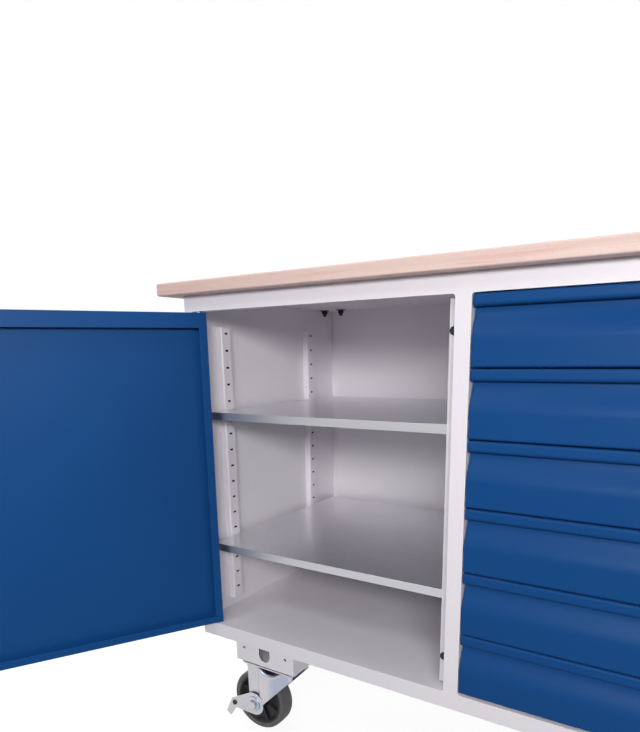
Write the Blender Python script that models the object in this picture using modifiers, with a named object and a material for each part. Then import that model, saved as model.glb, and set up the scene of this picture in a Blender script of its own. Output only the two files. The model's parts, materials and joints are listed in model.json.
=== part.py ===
"""Mobile workbench: a sheet-steel cabinet with a cupboard bay and a drawer bay,
a beech worktop, and four castors on two carrier channels.

Metres, +Z up, +X to the right of a person in front of it, +Y to the back.
Pieces are laid out from the cabinet: x = 0 is its middle, y = 0 its front
plane and z = 0 the floor. The root empty then moves the whole bench so that
the middle of its footprint, open door included, stands on the origin.
"""
import math

import bmesh
import bpy
from mathutils import Matrix, Vector

# Driving dimensions
GAP = 0.0003
SHEET = 0.0015
THIN_SHEET = 0.0012

POST_WIDTH = 0.017
BAY_WIDTH = 0.503
CENTRE_POST_WIDTH = 0.024
CABINET_DEPTH = 0.513
RAIL_HEIGHT = 0.028
OPENING_CORNER = 0.004
STOP_FACE = 0.022
STOP_WIDTH = 0.015
REAR_FLANGE = 0.014

WORKTOP_WIDTH = 1.145
WORKTOP_DEPTH = 0.589
WORKTOP_THICKNESS = 0.022
WORKTOP_FRONT_OVERHANG = 0.028
WORKTOP_EDGE = 0.002

UPRIGHT_DEPTH = 0.0135
UPRIGHT_WIDTH = 0.028
UPRIGHT_BOTTOM = 0.021
UPRIGHT_BELOW_TOP = 0.0255
UPRIGHT_FRONT_Y = 0.0935
UPRIGHT_REAR_Y = 0.393
SLOT_PITCH = 0.033
SLOT_FROM_END = 0.0115
SLOT_WIDTH = 0.009
SLOT_HEIGHT = 0.004

SHELF_FRONT_Y = 0.0265
SHELF_DEPTH = 0.460
SHELF_FLANGE = 0.0145
SHELF_SIDE_GAP = 0.0014
UPPER_SHELF_SLOT = 5
LOWER_SHELF_SLOT = 13
CLIP_WIDTH = 0.007
CLIP_REACH = 0.008
CLIP_DROP = 0.012
CLIP_SHEET = 0.0015

DOOR_THICKNESS = 0.018
DOOR_SIDE_GAP = 0.0025
DOOR_END_GAP = 0.0025
DOOR_LIP = 0.027
DOOR_BOTTOM_LIP = 0.014
DOOR_HINGE_LIP = 0.015
DOOR_OPEN_DEGREES = 120.0
PIVOT_FROM_EDGE = 0.010
PIVOT_BEHIND_FACE = 0.006
PIN_RADIUS = 0.004
PIN_IN_DOOR = 0.010
PIN_IN_FRAME = 0.006
LOCK_FROM_EDGE = 0.040
LOCK_SHAFT_RADIUS = 0.009
LOCK_ROSE_RADIUS = 0.017
LOCK_ROSE_THICKNESS = 0.003
LOCK_GRIP_LENGTH = 0.062
LOCK_GRIP_WIDTH = 0.014
LOCK_GRIP_DEPTH = 0.016
LOCK_CAM_LENGTH = 0.036
LOCK_CAM_WIDTH = 0.016
LOCK_CAM_THICKNESS = 0.002
BUMPER_RADIUS = 0.0065
BUMPER_FROM_TOP = 0.049
BUMPER_FROM_FLOOR = 0.050

DRAWER_COUNT = 6
DRAWER_PITCH = 0.101
DRAWER_TOP_GAP = 0.002
DRAWER_GAP = 0.003
DRAWER_SIDE_GAP = 0.002
FRONT_RETURN = 0.017
FRONT_LIP = 0.017
LIP_HEIGHT = 0.016
LIP_NOSE = 0.005
GRIP_DEPTH = 0.013
GRIP_BOTTOM = 0.037
FRONT_EDGE = 0.003
TRAY_SIDE_GAP = 0.010
TRAY_HEIGHT = 0.074
TRAY_LIFT = 0.011
TRAY_DEPTH = 0.450
TRAY_FLANGE = 0.007
RAIL_LEDGE = 0.011
RAIL_LEG = 0.018
RACK_POST_WIDTH = 0.025
RACK_FRONT_Y = 0.070
RACK_REAR_Y = 0.430

CARRIER_WIDTH = 0.139
CARRIER_FROM_SIDE = 0.083
CARRIER_DROP = 0.038
CARRIER_SHEET = 0.002
CARRIER_SLOT_WIDTH = 0.026
CARRIER_SLOT_DROP = 0.028
CARRIER_HOLE_RADIUS = 0.003
CARRIER_HOLE_DROP = 0.009
CARRIER_HOLE_SPREAD = 0.1005

CASTOR_HEIGHT = 0.161
CASTOR_TRAIL = 0.040
CASTOR_FROM_FRONT = 0.0455
CASTOR_PLATE_X = 0.127
CASTOR_PLATE_Y = 0.078
CASTOR_PLATE_THICKNESS = 0.004
RACE_RADIUS = 0.030
RACE_HEIGHT = 0.010
FORK_SHEET = 0.003
FORK_HALF_WIDTH = 0.029
FORK_HEAD_HALF = 0.045
FORK_HEAD_BACK = 0.056
FORK_HEAD_FRONT = 0.055
FORK_HEAD_DEPTH = 0.010
FORK_END_RADIUS = 0.014
WHEEL_RADIUS = 0.0625
TYRE_WIDTH = 0.036
TYRE_SHOULDER = 0.004
RIM_RADIUS = 0.052
RIM_WEB = 0.016
RIM_EDGE = 0.008
HUB_RADIUS = 0.018
AXLE_RADIUS = 0.006
AXLE_HEAD = 0.004
PEDAL_ARM_SHEET = 0.0025
PEDAL_EYE_RADIUS = 0.024
PEDAL_ELBOW = 0.0526
PEDAL_FOOT = 0.036
PEDAL_FOOT_DEGREES = 45
PEDAL_PAD = 0.022
PEDAL_PAD_THICKNESS = 0.004
PEDAL_ARM_HEIGHT = 0.014
PEDAL_DROOP_DEGREES = 14

# Derived layout
OPENING_HEIGHT = DRAWER_COUNT * DRAWER_PITCH + 2 * DRAWER_TOP_GAP
FRONT_HEIGHT = DRAWER_PITCH - DRAWER_GAP
UPRIGHT_TOP = OPENING_HEIGHT - UPRIGHT_BELOW_TOP
SLOT_TOP = UPRIGHT_TOP - SLOT_FROM_END
SLOT_COUNT = int((SLOT_TOP - UPRIGHT_BOTTOM - SLOT_FROM_END / 2) / SLOT_PITCH) + 1
CABINET_WIDTH = 2 * POST_WIDTH + 2 * BAY_WIDTH + CENTRE_POST_WIDTH
SIDE = CABINET_WIDTH / 2
BASE_Z = CASTOR_HEIGHT + CARRIER_DROP
FLOOR_Z = BASE_Z + RAIL_HEIGHT
OPENING_TOP = FLOOR_Z + OPENING_HEIGHT
BODY_TOP = OPENING_TOP + RAIL_HEIGHT
LEFT_BAY = (-SIDE + POST_WIDTH, -SIDE + POST_WIDTH + BAY_WIDTH)
RIGHT_BAY = (SIDE - POST_WIDTH - BAY_WIDTH, SIDE - POST_WIDTH)
RETURN_DEPTH = STOP_FACE + SHEET
BACK_Y = CABINET_DEPTH - 2 * SHEET - GAP
INNER = SIDE - SHEET - GAP
CENTRE_X = (LEFT_BAY[1] + RIGHT_BAY[0]) / 2
CARRIER_TOP = FLOOR_Z - SHEET - GAP
CARRIER_X = SIDE - CARRIER_FROM_SIDE - CARRIER_WIDTH / 2
CASTOR_TOP = CASTOR_HEIGHT - GAP
FORK_TOP = CASTOR_TOP - CASTOR_PLATE_THICKNESS - RACE_HEIGHT - GAP
DOOR_EDGE_X = LEFT_BAY[0] + DOOR_SIDE_GAP
PIVOT_X = DOOR_EDGE_X + PIVOT_FROM_EDGE
PIVOT_Y = PIVOT_BEHIND_FACE

# A clean scene
for old in list(bpy.data.objects):
    bpy.data.objects.remove(old, do_unlink=True)
PARTS = bpy.data.collections.new("mobile_workbench")
CUTTERS = bpy.data.collections.new("helpers")
bpy.context.scene.collection.children.link(PARTS)
bpy.context.scene.collection.children.link(CUTTERS)


def finish(name, colour, roughness, metallic=0.0):
    """A plain material for one kind of surface."""
    material = bpy.data.materials.new(name)
    material.use_nodes = True
    shader = material.node_tree.nodes["Principled BSDF"]
    shader.inputs["Base Color"].default_value = (*colour, 1.0)
    shader.inputs["Roughness"].default_value = roughness
    shader.inputs["Metallic"].default_value = metallic
    return material


BEECH = finish("beech", (0.72, 0.50, 0.33), 0.5)
GREY = finish("cabinet_grey", (0.66, 0.66, 0.67), 0.45)
BLUE = finish("front_blue", (0.014, 0.075, 0.27), 0.4)
GALVANISED = finish("galvanised_steel", (0.50, 0.51, 0.53), 0.4, 0.9)
ZINC = finish("zinc_plate", (0.62, 0.65, 0.70), 0.3, 0.9)
RUBBER = finish("black_rubber", (0.02, 0.02, 0.02), 0.8)
TYRE = finish("grey_tyre", (0.12, 0.12, 0.125), 0.75)
RIM = finish("black_rim", (0.015, 0.015, 0.016), 0.5)


def empty(name, parent=None, at=(0, 0, 0), turn=0.0):
    """A joint axis or a group's anchor."""
    anchor = bpy.data.objects.new(name, None)
    anchor.empty_display_size = 0.03
    anchor.location = at
    anchor.rotation_euler[2] = turn
    anchor.parent = parent
    PARTS.objects.link(anchor)
    return anchor


def piece(name, mesh, material, parent):
    """One named solid of the bench."""
    solid = bpy.data.objects.new(name, mesh)
    mesh.materials.clear()
    mesh.materials.append(material)
    solid.parent = parent
    PARTS.objects.link(solid)
    return solid


def combine(solid, mesh, operation):
    """Cut a helper shape out of a solid, or weld it on."""
    helper = bpy.data.objects.new(solid.name + "_" + operation.lower(), mesh)
    helper.parent = solid.parent
    helper.hide_render = True
    helper.display_type = "WIRE"
    CUTTERS.objects.link(helper)
    modifier = solid.modifiers.new(operation.lower(), "BOOLEAN")
    modifier.operation = operation
    modifier.solver = "EXACT"
    modifier.object = helper
    return modifier


def to_mesh(name, work):
    """A mesh data block from a bmesh, with its faces turned outward."""
    bmesh.ops.recalc_face_normals(work, faces=work.faces)
    mesh = bpy.data.meshes.new(name)
    work.to_mesh(mesh)
    work.free()
    return mesh


def box_bmesh(low, high):
    low, high = Vector(low), Vector(high)
    work = bmesh.new()
    bmesh.ops.create_cube(work, size=1.0)
    bmesh.ops.scale(work, vec=high - low, verts=work.verts)
    bmesh.ops.translate(work, vec=(low + high) / 2, verts=work.verts)
    return work


def box(name, low, high):
    return to_mesh(name, box_bmesh(low, high))


def bars(name, boxes):
    """Several separate bars as one helper mesh."""
    work = bmesh.new()
    for low, high in boxes:
        low, high = Vector(low), Vector(high)
        made = bmesh.ops.create_cube(work, size=1.0)["verts"]
        bmesh.ops.scale(work, vec=high - low, verts=made)
        bmesh.ops.translate(work, vec=(low + high) / 2, verts=made)
    return to_mesh(name, work)


def rod(name, radius, start, end, axis, at, sides=20):
    """A round bar along Y or Z, through the point given by its two other coordinates."""
    work = bmesh.new()
    bmesh.ops.create_cone(work, cap_ends=True, segments=sides, radius1=radius,
                          radius2=radius, depth=end - start)
    if axis == "Y":
        bmesh.ops.rotate(work, matrix=Matrix.Rotation(math.radians(90), 3, "X"), verts=work.verts)
        place = (at[0], (start + end) / 2, at[1])
    else:
        place = (at[0], at[1], (start + end) / 2)
    bmesh.ops.translate(work, vec=place, verts=work.verts)
    return to_mesh(name, work)


PLANES = {
    "X": Matrix(((0, 0, 1), (1, 0, 0), (0, 1, 0))),
    "Y": Matrix(((1, 0, 0), (0, 0, -1), (0, 1, 0))),
    "Z": Matrix.Identity(3),
}


def outline(name, loops, start, end, axis, filled=True):
    """A flat outline drawn as a curve and extruded along an axis.

    Along X the outline is (y, z), along Y it is (x, z), along Z it is (x, y).
    """
    curve = bpy.data.curves.new(name, "CURVE")
    curve.dimensions = "2D" if filled else "3D"
    curve.fill_mode = "BOTH" if filled else "FULL"
    curve.extrude = (end - start) / 2
    for loop in loops:
        spline = curve.splines.new("POLY")
        spline.points.add(len(loop) - 1)
        for point, (u, v) in zip(spline.points, loop):
            point.co = (u, v, 0.0, 1.0)
        spline.use_cyclic_u = filled
    drawn = bpy.data.objects.new(name, curve)
    CUTTERS.objects.link(drawn)
    bpy.context.view_layer.update()
    graph = bpy.context.evaluated_depsgraph_get()
    mesh = bpy.data.meshes.new_from_object(drawn.evaluated_get(graph))
    work = bmesh.new()
    work.from_mesh(mesh)
    bpy.data.meshes.remove(mesh)
    bpy.data.objects.remove(drawn, do_unlink=True)
    bmesh.ops.remove_doubles(work, verts=work.verts, dist=0.00001)
    bmesh.ops.rotate(work, matrix=PLANES[axis], verts=work.verts)
    shift = {"X": (1, 0, 0), "Y": (0, 1, 0), "Z": (0, 0, 1)}[axis]
    bmesh.ops.translate(work, vec=Vector(shift) * (start + end) / 2, verts=work.verts)
    return to_mesh(name, work)


def prism(name, loop, start, end):
    """One (x, z) outline as a single face, extruded along Y."""
    work = bmesh.new()
    face = work.faces.new([work.verts.new((x, start, z)) for x, z in loop])
    grown = bmesh.ops.extrude_face_region(work, geom=[face])["geom"]
    moved = [item for item in grown if isinstance(item, bmesh.types.BMVert)]
    bmesh.ops.translate(work, vec=(0, end - start, 0), verts=moved)
    return to_mesh(name, work)


def arc(centre, radius, first, last, steps):
    """Points on a circle between two angles in degrees."""
    angles = [math.radians(first + (last - first) * i / steps) for i in range(steps + 1)]
    return [(centre[0] + radius * math.cos(a), centre[1] + radius * math.sin(a)) for a in angles]


def rounded(low, high, radius, steps=3):
    """A rectangle with rounded corners, as outline points."""
    points = arc((high[0] - radius, low[1] + radius), radius, -90, 0, steps)
    points += arc((high[0] - radius, high[1] - radius), radius, 0, 90, steps)
    points += arc((low[0] + radius, high[1] - radius), radius, 90, 180, steps)
    points += arc((low[0] + radius, low[1] + radius), radius, 180, 270, steps)
    return points


def open_box(name, low, high, side, lip=None):
    """A box surface without one side, or with only a lip left of that side."""
    work = box_bmesh(low, high)
    work.normal_update()
    face = next(f for f in work.faces if f.normal.dot(Vector(side)) > 0.9)
    if lip is not None:
        bmesh.ops.inset_region(work, faces=[face], thickness=lip, use_even_offset=True)
    rim = list(face.verts)
    bmesh.ops.delete(work, geom=[face], context="FACES_ONLY")
    return work, rim


def solidify(solid, thickness, offset=-1.0):
    modifier = solid.modifiers.new("sheet", "SOLIDIFY")
    modifier.thickness = thickness
    modifier.offset = offset
    modifier.use_even_offset = True


def bevel(solid, width, segments=2):
    modifier = solid.modifiers.new("edge", "BEVEL")
    modifier.width = width
    modifier.segments = segments
    modifier.limit_method = "ANGLE"
    modifier.angle_limit = math.radians(40)


def turned(name, profile, steps, material, parent):
    """A closed ring profile (radius, along) turned about Y with a Screw."""
    mesh = bpy.data.meshes.new(name)
    work = bmesh.new()
    corners = [work.verts.new((radius, 0, along)) for radius, along in profile]
    for first, second in zip(corners, corners[1:] + corners[:1]):
        work.edges.new((first, second))
    work.to_mesh(mesh)
    work.free()
    solid = piece(name, mesh, material, parent)
    solid.rotation_euler[0] = math.radians(90)
    screw = solid.modifiers.new("turn", "SCREW")
    screw.axis = "Z"
    screw.steps = steps
    screw.render_steps = steps
    screw.use_merge_vertices = True
    screw.merge_threshold = 0.00001
    return solid


ROOT = empty("workbench")


def build_worktop():
    front = -WORKTOP_FRONT_OVERHANG
    half = WORKTOP_WIDTH / 2
    low = (-half, front, BODY_TOP + GAP)
    high = (half, front + WORKTOP_DEPTH, BODY_TOP + GAP + WORKTOP_THICKNESS)
    bevel(piece("worktop", box("worktop", low, high), BEECH, ROOT), WORKTOP_EDGE)


def bay_window(bay, grow=0.0):
    return rounded((bay[0] - grow, FLOOR_Z - grow), (bay[1] + grow, OPENING_TOP + grow),
                   OPENING_CORNER + grow)


def build_front_frame():
    """Face sheet with two openings, a folded return in each, and the door stop strip."""
    frame = piece("front_frame", box("front_frame", (-SIDE, 0, BASE_Z), (SIDE, SHEET, BODY_TOP)),
                  GREY, ROOT)
    for bay in (LEFT_BAY, RIGHT_BAY):
        fold = prism("fold", bay_window(bay, SHEET), SHEET / 2, RETURN_DEPTH)
        combine(frame, fold, "UNION")
    for bay in (LEFT_BAY, RIGHT_BAY):
        window = prism("window", bay_window(bay), -RETURN_DEPTH, 2 * RETURN_DEPTH)
        combine(frame, window, "DIFFERENCE")
    strip = box("strip", (LEFT_BAY[1] - STOP_WIDTH, STOP_FACE, FLOOR_Z + OPENING_CORNER),
                (LEFT_BAY[1] + SHEET / 2, STOP_FACE + THIN_SHEET, OPENING_TOP - OPENING_CORNER))
    combine(frame, strip, "UNION")
    hole = rod("hole", PIN_RADIUS + GAP, FLOOR_Z - RAIL_HEIGHT / 2, OPENING_TOP + RAIL_HEIGHT / 2,
               "Z", (PIVOT_X, PIVOT_Y))
    combine(frame, hole, "DIFFERENCE")


def build_cabinet_panels():
    for name, sign in (("left_side_panel", -1), ("right_side_panel", 1)):
        front = SHEET + GAP
        section = [(SIDE, front), (SIDE, CABINET_DEPTH), (SIDE - REAR_FLANGE, CABINET_DEPTH),
                   (SIDE - REAR_FLANGE, CABINET_DEPTH - SHEET), (SIDE - SHEET, CABINET_DEPTH - SHEET),
                   (SIDE - SHEET, front)]
        section = [(sign * x, y) for x, y in section]
        piece(name, outline(name, [section], BASE_Z, BODY_TOP, "Z"), GREY, ROOT)
    deep = BACK_Y - GAP
    piece("top_panel", box("top_panel", (-INNER, SHEET + GAP, BODY_TOP - SHEET),
                           (INNER, deep, BODY_TOP)), GREY, ROOT)
    piece("floor_panel", box("floor_panel", (-INNER, RETURN_DEPTH + GAP, FLOOR_Z - SHEET),
                             (INNER, deep, FLOOR_Z)), GREY, ROOT)
    piece("back_panel", box("back_panel", (-INNER, BACK_Y, BASE_Z),
                            (INNER, BACK_Y + SHEET, BODY_TOP)), GREY, ROOT)
    piece("centre_partition", box("centre_partition",
                                  (CENTRE_X - SHEET / 2, RETURN_DEPTH + GAP, FLOOR_Z + GAP),
                                  (CENTRE_X + SHEET / 2, deep, BODY_TOP - SHEET - GAP)), GREY, ROOT)


def slot_z(index):
    return FLOOR_Z + SLOT_TOP - index * SLOT_PITCH


def build_uprights():
    """Channels with hook slots on the left wall and on the partition."""
    walls = {"left": (-INNER, 1), "centre": (CENTRE_X - SHEET / 2 - GAP, -1)}
    half = UPRIGHT_WIDTH / 2
    inner = half - THIN_SHEET
    for wall, (wall_x, sign) in walls.items():
        for place, y in (("front", UPRIGHT_FRONT_Y), ("rear", UPRIGHT_REAR_Y)):
            name = "shelf_upright_" + wall + "_" + place
            reach = UPRIGHT_DEPTH
            section = [(0, -half), (reach - 0.002, -half), (reach, -half + 0.002),
                       (reach, half - 0.002), (reach - 0.002, half), (0, half), (0, inner),
                       (reach - THIN_SHEET, inner), (reach - THIN_SHEET, -inner), (0, -inner)]
            section = [(wall_x + sign * x, y + v) for x, v in section]
            upright = piece(name, outline(name, [section], FLOOR_Z + UPRIGHT_BOTTOM,
                                          FLOOR_Z + UPRIGHT_TOP, "Z"), GREY, ROOT)
            face = wall_x + sign * reach
            holes = []
            for index in range(SLOT_COUNT):
                z = slot_z(index)
                low = (face - 2 * THIN_SHEET, y - SLOT_WIDTH / 2, z - SLOT_HEIGHT / 2)
                high = (face + 2 * THIN_SHEET, y + SLOT_WIDTH / 2, z + SLOT_HEIGHT / 2)
                holes.append((low, high))
            combine(upright, bars("slots", holes), "DIFFERENCE")


def build_shelves():
    """Folded shelves, each on four clips hooked into the uprights."""
    left = -INNER + UPRIGHT_DEPTH
    right = CENTRE_X - SHEET / 2 - GAP - UPRIGHT_DEPTH
    hook = SLOT_HEIGHT / 2
    for name, slot in (("upper_shelf", UPPER_SHELF_SLOT), ("lower_shelf", LOWER_SHELF_SLOT)):
        rest = slot_z(slot) + hook
        low = (left + SHELF_SIDE_GAP, SHELF_FRONT_Y, rest + GAP)
        high = (right - SHELF_SIDE_GAP, SHELF_FRONT_Y + SHELF_DEPTH, rest + GAP + SHELF_FLANGE)
        work, _ = open_box(name, low, high, (0, 0, -1))
        solidify(piece(name, to_mesh(name, work), GALVANISED, ROOT), THIN_SHEET)
        for wall, face, sign in (("left", left, 1), ("centre", right, -1)):
            for place, y in (("front", UPRIGHT_FRONT_Y), ("rear", UPRIGHT_REAR_Y)):
                behind = THIN_SHEET + GAP
                bottom = -hook - SLOT_HEIGHT / 4
                top = -hook + SLOT_HEIGHT / 4
                section = [(-behind - CLIP_SHEET, bottom), (GAP, bottom), (GAP, -CLIP_DROP),
                           (GAP + CLIP_SHEET, -CLIP_DROP), (GAP + CLIP_SHEET, -CLIP_SHEET),
                           (CLIP_REACH, -CLIP_SHEET), (CLIP_REACH, 0), (GAP, 0), (GAP, top),
                           (-behind, top), (-behind, hook), (-behind - CLIP_SHEET, hook)]
                section = [(face + sign * x, rest + z) for x, z in section]
                clip = "clip_" + name.split("_")[0] + "_" + wall + "_" + place
                piece(clip, outline(clip, [section], y - CLIP_WIDTH / 2, y + CLIP_WIDTH / 2, "Y"),
                      ZINC, ROOT)


def build_door():
    """Folded door on two pins, drawn closed and swung open about its pivot."""
    pivot = empty("door_pivot", ROOT, (PIVOT_X, PIVOT_Y, 0), math.radians(-DOOR_OPEN_DEGREES))
    left = -PIVOT_FROM_EDGE
    right = LEFT_BAY[1] - DOOR_SIDE_GAP - PIVOT_X
    front = -PIVOT_BEHIND_FACE
    back = front + DOOR_THICKNESS
    bottom = FLOOR_Z + DOOR_END_GAP
    top = OPENING_TOP - DOOR_END_GAP
    work, rim = open_box("door_panel", (left, front, bottom), (right, back, top), (0, 1, 0), DOOR_LIP)
    for corner in rim:
        if corner.co.z < (bottom + top) / 2:
            corner.co.z = bottom + DOOR_BOTTOM_LIP
        if corner.co.x < (left + right) / 2:
            corner.co.x = left + DOOR_HINGE_LIP
    door = piece("door_panel", to_mesh("door_panel", work), BLUE, pivot)
    solidify(door, SHEET)
    combine(door, rod("hole", PIN_RADIUS + GAP, bottom - 0.01, top + 0.01, "Z", (0, 0)), "DIFFERENCE")
    lock_x = right - LOCK_FROM_EDGE
    lock_z = FLOOR_Z + OPENING_HEIGHT / 2
    combine(door, rod("lock_hole", LOCK_SHAFT_RADIUS + GAP, front - 0.01, front + 0.01, "Y",
                      (lock_x, lock_z)), "DIFFERENCE")
    piece("upper_hinge_pin", rod("upper_hinge_pin", PIN_RADIUS, top - PIN_IN_DOOR,
                                 OPENING_TOP + PIN_IN_FRAME, "Z", (0, 0)), ZINC, pivot)
    piece("lower_hinge_pin", rod("lower_hinge_pin", PIN_RADIUS, FLOOR_Z - PIN_IN_FRAME,
                                 bottom + PIN_IN_DOOR, "Z", (0, 0)), ZINC, pivot)
    build_lock(pivot, lock_x, front, lock_z)


def build_lock(pivot, x, face, z):
    """Turning handle, shaft and cam in one piece; the cam points up while unlocked."""
    axis = empty("door_lock_axis", pivot, (x, face, z))
    cam_y = RETURN_DEPTH + 2 * GAP
    grip_back = -GAP - LOCK_ROSE_THICKNESS / 2
    lock = piece("door_lock", rod("door_lock", LOCK_SHAFT_RADIUS, grip_back - LOCK_GRIP_DEPTH / 2,
                                  cam_y + LOCK_CAM_THICKNESS / 2, "Y", (0, 0)), ZINC, axis)
    rose = rod("rose", LOCK_ROSE_RADIUS, -GAP - LOCK_ROSE_THICKNESS, -GAP, "Y", (0, 0), 24)
    combine(lock, rose, "UNION")
    grip = box("grip", (-LOCK_GRIP_WIDTH / 2, grip_back - LOCK_GRIP_DEPTH, -LOCK_GRIP_LENGTH / 2),
               (LOCK_GRIP_WIDTH / 2, grip_back, LOCK_GRIP_LENGTH / 2))
    combine(lock, grip, "UNION")
    half = LOCK_CAM_WIDTH / 2
    cam = outline("cam", [arc((0, 0), half, 180, 360, 6) + [(half, LOCK_CAM_LENGTH),
                                                            (-half, LOCK_CAM_LENGTH)]],
                  cam_y, cam_y + LOCK_CAM_THICKNESS, "Y")
    combine(lock, cam, "UNION")


def build_bumpers():
    x = LEFT_BAY[1] - STOP_WIDTH / 2
    heights = {"upper_bumper": OPENING_TOP - BUMPER_FROM_TOP, "lower_bumper": FLOOR_Z + BUMPER_FROM_FLOOR}
    for name, z in heights.items():
        piece(name, rod(name, BUMPER_RADIUS, DOOR_THICKNESS + GAP, STOP_FACE - GAP, "Y", (x, z), 16),
              RUBBER, ROOT)


def front_profile(z):
    """Side view of a drawer front from its top fold, over the lip and grip, to its bottom fold.

    Both folds end in a lip that the tray's front wall is welded to.
    """
    top = z + FRONT_HEIGHT
    under = top - LIP_HEIGHT
    points = [(FRONT_RETURN, top - FRONT_LIP), (FRONT_RETURN, top), (FRONT_EDGE, top)]
    points += arc((FRONT_EDGE, top - FRONT_EDGE), FRONT_EDGE, 90, 180, 3)[1:]
    points += arc((LIP_NOSE, under + LIP_NOSE), LIP_NOSE, 180, 270, 4)
    low = z + GRIP_BOTTOM
    for i in range(9):
        t = i / 8
        swing = 0.5 + 0.5 * math.cos(math.pi * t)
        points.append((GRIP_DEPTH * swing, under + (low - under) * t))
    points += arc((FRONT_EDGE, z + FRONT_EDGE), FRONT_EDGE, 180, 270, 3)
    points += [(FRONT_RETURN, z), (FRONT_RETURN, z + FRONT_LIP)]
    return points


def drawer_bottom(index):
    return OPENING_TOP - DRAWER_TOP_GAP - FRONT_HEIGHT - index * DRAWER_PITCH


def build_drawers():
    """Six drawers: a bent front sheet on an open tray that hangs by its two side flanges."""
    for index in range(DRAWER_COUNT):
        z = drawer_bottom(index)
        slide = empty("drawer_slide_%d" % (index + 1), ROOT)
        name = "drawer_front_%d" % (index + 1)
        sheet = outline(name, [front_profile(z)], RIGHT_BAY[0] + DRAWER_SIDE_GAP,
                        RIGHT_BAY[1] - DRAWER_SIDE_GAP, "X", filled=False)
        front = piece(name, sheet, BLUE, slide)
        solidify(front, THIN_SHEET, 0.0)
        name = "drawer_tray_%d" % (index + 1)
        y = FRONT_RETURN + THIN_SHEET / 2 + GAP
        low = (RIGHT_BAY[0] + TRAY_SIDE_GAP, y, z + TRAY_LIFT)
        high = (RIGHT_BAY[1] - TRAY_SIDE_GAP, y + TRAY_DEPTH, z + TRAY_LIFT + TRAY_HEIGHT)
        work, _ = open_box(name, low, high, (0, 0, 1))
        for x, sign in ((low[0], -1), (high[0], 1)):
            rim = [e for e in work.edges if e.is_boundary and all(abs(v.co.x - x) < GAP for v in e.verts)]
            grown = bmesh.ops.extrude_edge_only(work, edges=rim)["geom"]
            moved = [item for item in grown if isinstance(item, bmesh.types.BMVert)]
            bmesh.ops.translate(work, vec=(sign * TRAY_FLANGE, 0, 0), verts=moved)
        mesh = to_mesh(name, work)
        if min(mesh.polygons, key=lambda face: face.center.z).normal.z > 0:
            mesh.flip_normals()
        solidify(piece(name, mesh, GREY, slide), THIN_SHEET)


def build_racks():
    """Square posts on the walls, each pair with six angle rails under the trays' flanges."""
    trays = (RIGHT_BAY[0] + TRAY_SIDE_GAP, RIGHT_BAY[1] - TRAY_SIDE_GAP)
    sides = (("left", CENTRE_X + SHEET / 2 + GAP, trays[0], 1), ("right", INNER, trays[1], -1))
    for side, wall, tray, sign in sides:
        name = "runner_rack_" + side
        inner = tray - sign * 3 * GAP
        outer = tray - sign * RAIL_LEDGE
        posts = [outer + sign * SHEET / 2, wall]
        rails = []
        for index in range(DRAWER_COUNT):
            ledge = drawer_bottom(index) + TRAY_LIFT + TRAY_HEIGHT - GAP
            rails.append([(inner, ledge), (outer, ledge), (outer, ledge - RAIL_LEG),
                          (outer + sign * SHEET, ledge - RAIL_LEG), (outer + sign * SHEET, ledge - SHEET),
                          (inner, ledge - SHEET)])
        start = RETURN_DEPTH + GAP
        rack = piece(name, outline(name, rails, start, BACK_Y - RACK_POST_WIDTH, "Y"), ZINC, ROOT)
        for y in (RACK_FRONT_Y, RACK_REAR_Y):
            low = (min(posts), y, FLOOR_Z + GAP)
            high = (max(posts), y + RACK_POST_WIDTH, OPENING_TOP - DRAWER_TOP_GAP)
            combine(rack, box("post", low, high), "UNION")


def build_carriers():
    """Channels under the floor, from front to back, that the castors bolt to."""
    for name, x in (("left_castor_carrier", -CARRIER_X), ("right_castor_carrier", CARRIER_X)):
        half = CARRIER_WIDTH / 2
        low = (x - half, SHEET + 2 * GAP, CASTOR_HEIGHT)
        high = (x + half, BACK_Y - 2 * GAP, CARRIER_TOP)
        work, _ = open_box(name, low, high, (0, 0, 1))
        carrier = piece(name, to_mesh(name, work), GREY, ROOT)
        solidify(carrier, CARRIER_SHEET)
        wide = CARRIER_SLOT_WIDTH / 2
        foot = BASE_Z - CARRIER_SLOT_DROP + wide
        slot = arc((x, foot), wide, 180, 360, 8) + [(x + wide, BASE_Z + wide), (x - wide, BASE_Z + wide)]
        holes = [slot]
        for sign in (-1, 1):
            centre = (x + sign * CARRIER_HOLE_SPREAD / 2, BASE_Z - CARRIER_HOLE_DROP)
            holes.append(arc(centre, CARRIER_HOLE_RADIUS, 0, 330, 11))
        combine(carrier, outline("holes", holes, -0.01, CABINET_DEPTH, "Y"), "DIFFERENCE")


def touch(axle, corner, side):
    """Angle at which a line from a corner touches the round end of a fork leg."""
    across, up = corner[0] - axle[0], corner[1] - axle[1]
    lean = math.degrees(math.acos(FORK_END_RADIUS / math.hypot(across, up)))
    return math.degrees(math.atan2(up, across)) + side * lean


def leg_outline(axle, top, left, right):
    """Side view of a fork leg: a deep head drawn in to a round end at the axle.

    A side of the head that stands over the round end runs straight down to it.
    """
    low = top - FORK_HEAD_DEPTH
    head = [(right, low), (right, top), (left, top)]
    reach = (left - axle[0]) / FORK_END_RADIUS
    if reach > -1:
        first = math.degrees(math.acos(reach))
    else:
        first = touch(axle, (left, low), 1)
        head.append((left, low))
    return arc(axle, FORK_END_RADIUS, first, 360 + touch(axle, (right, low), -1), 10) + head


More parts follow.
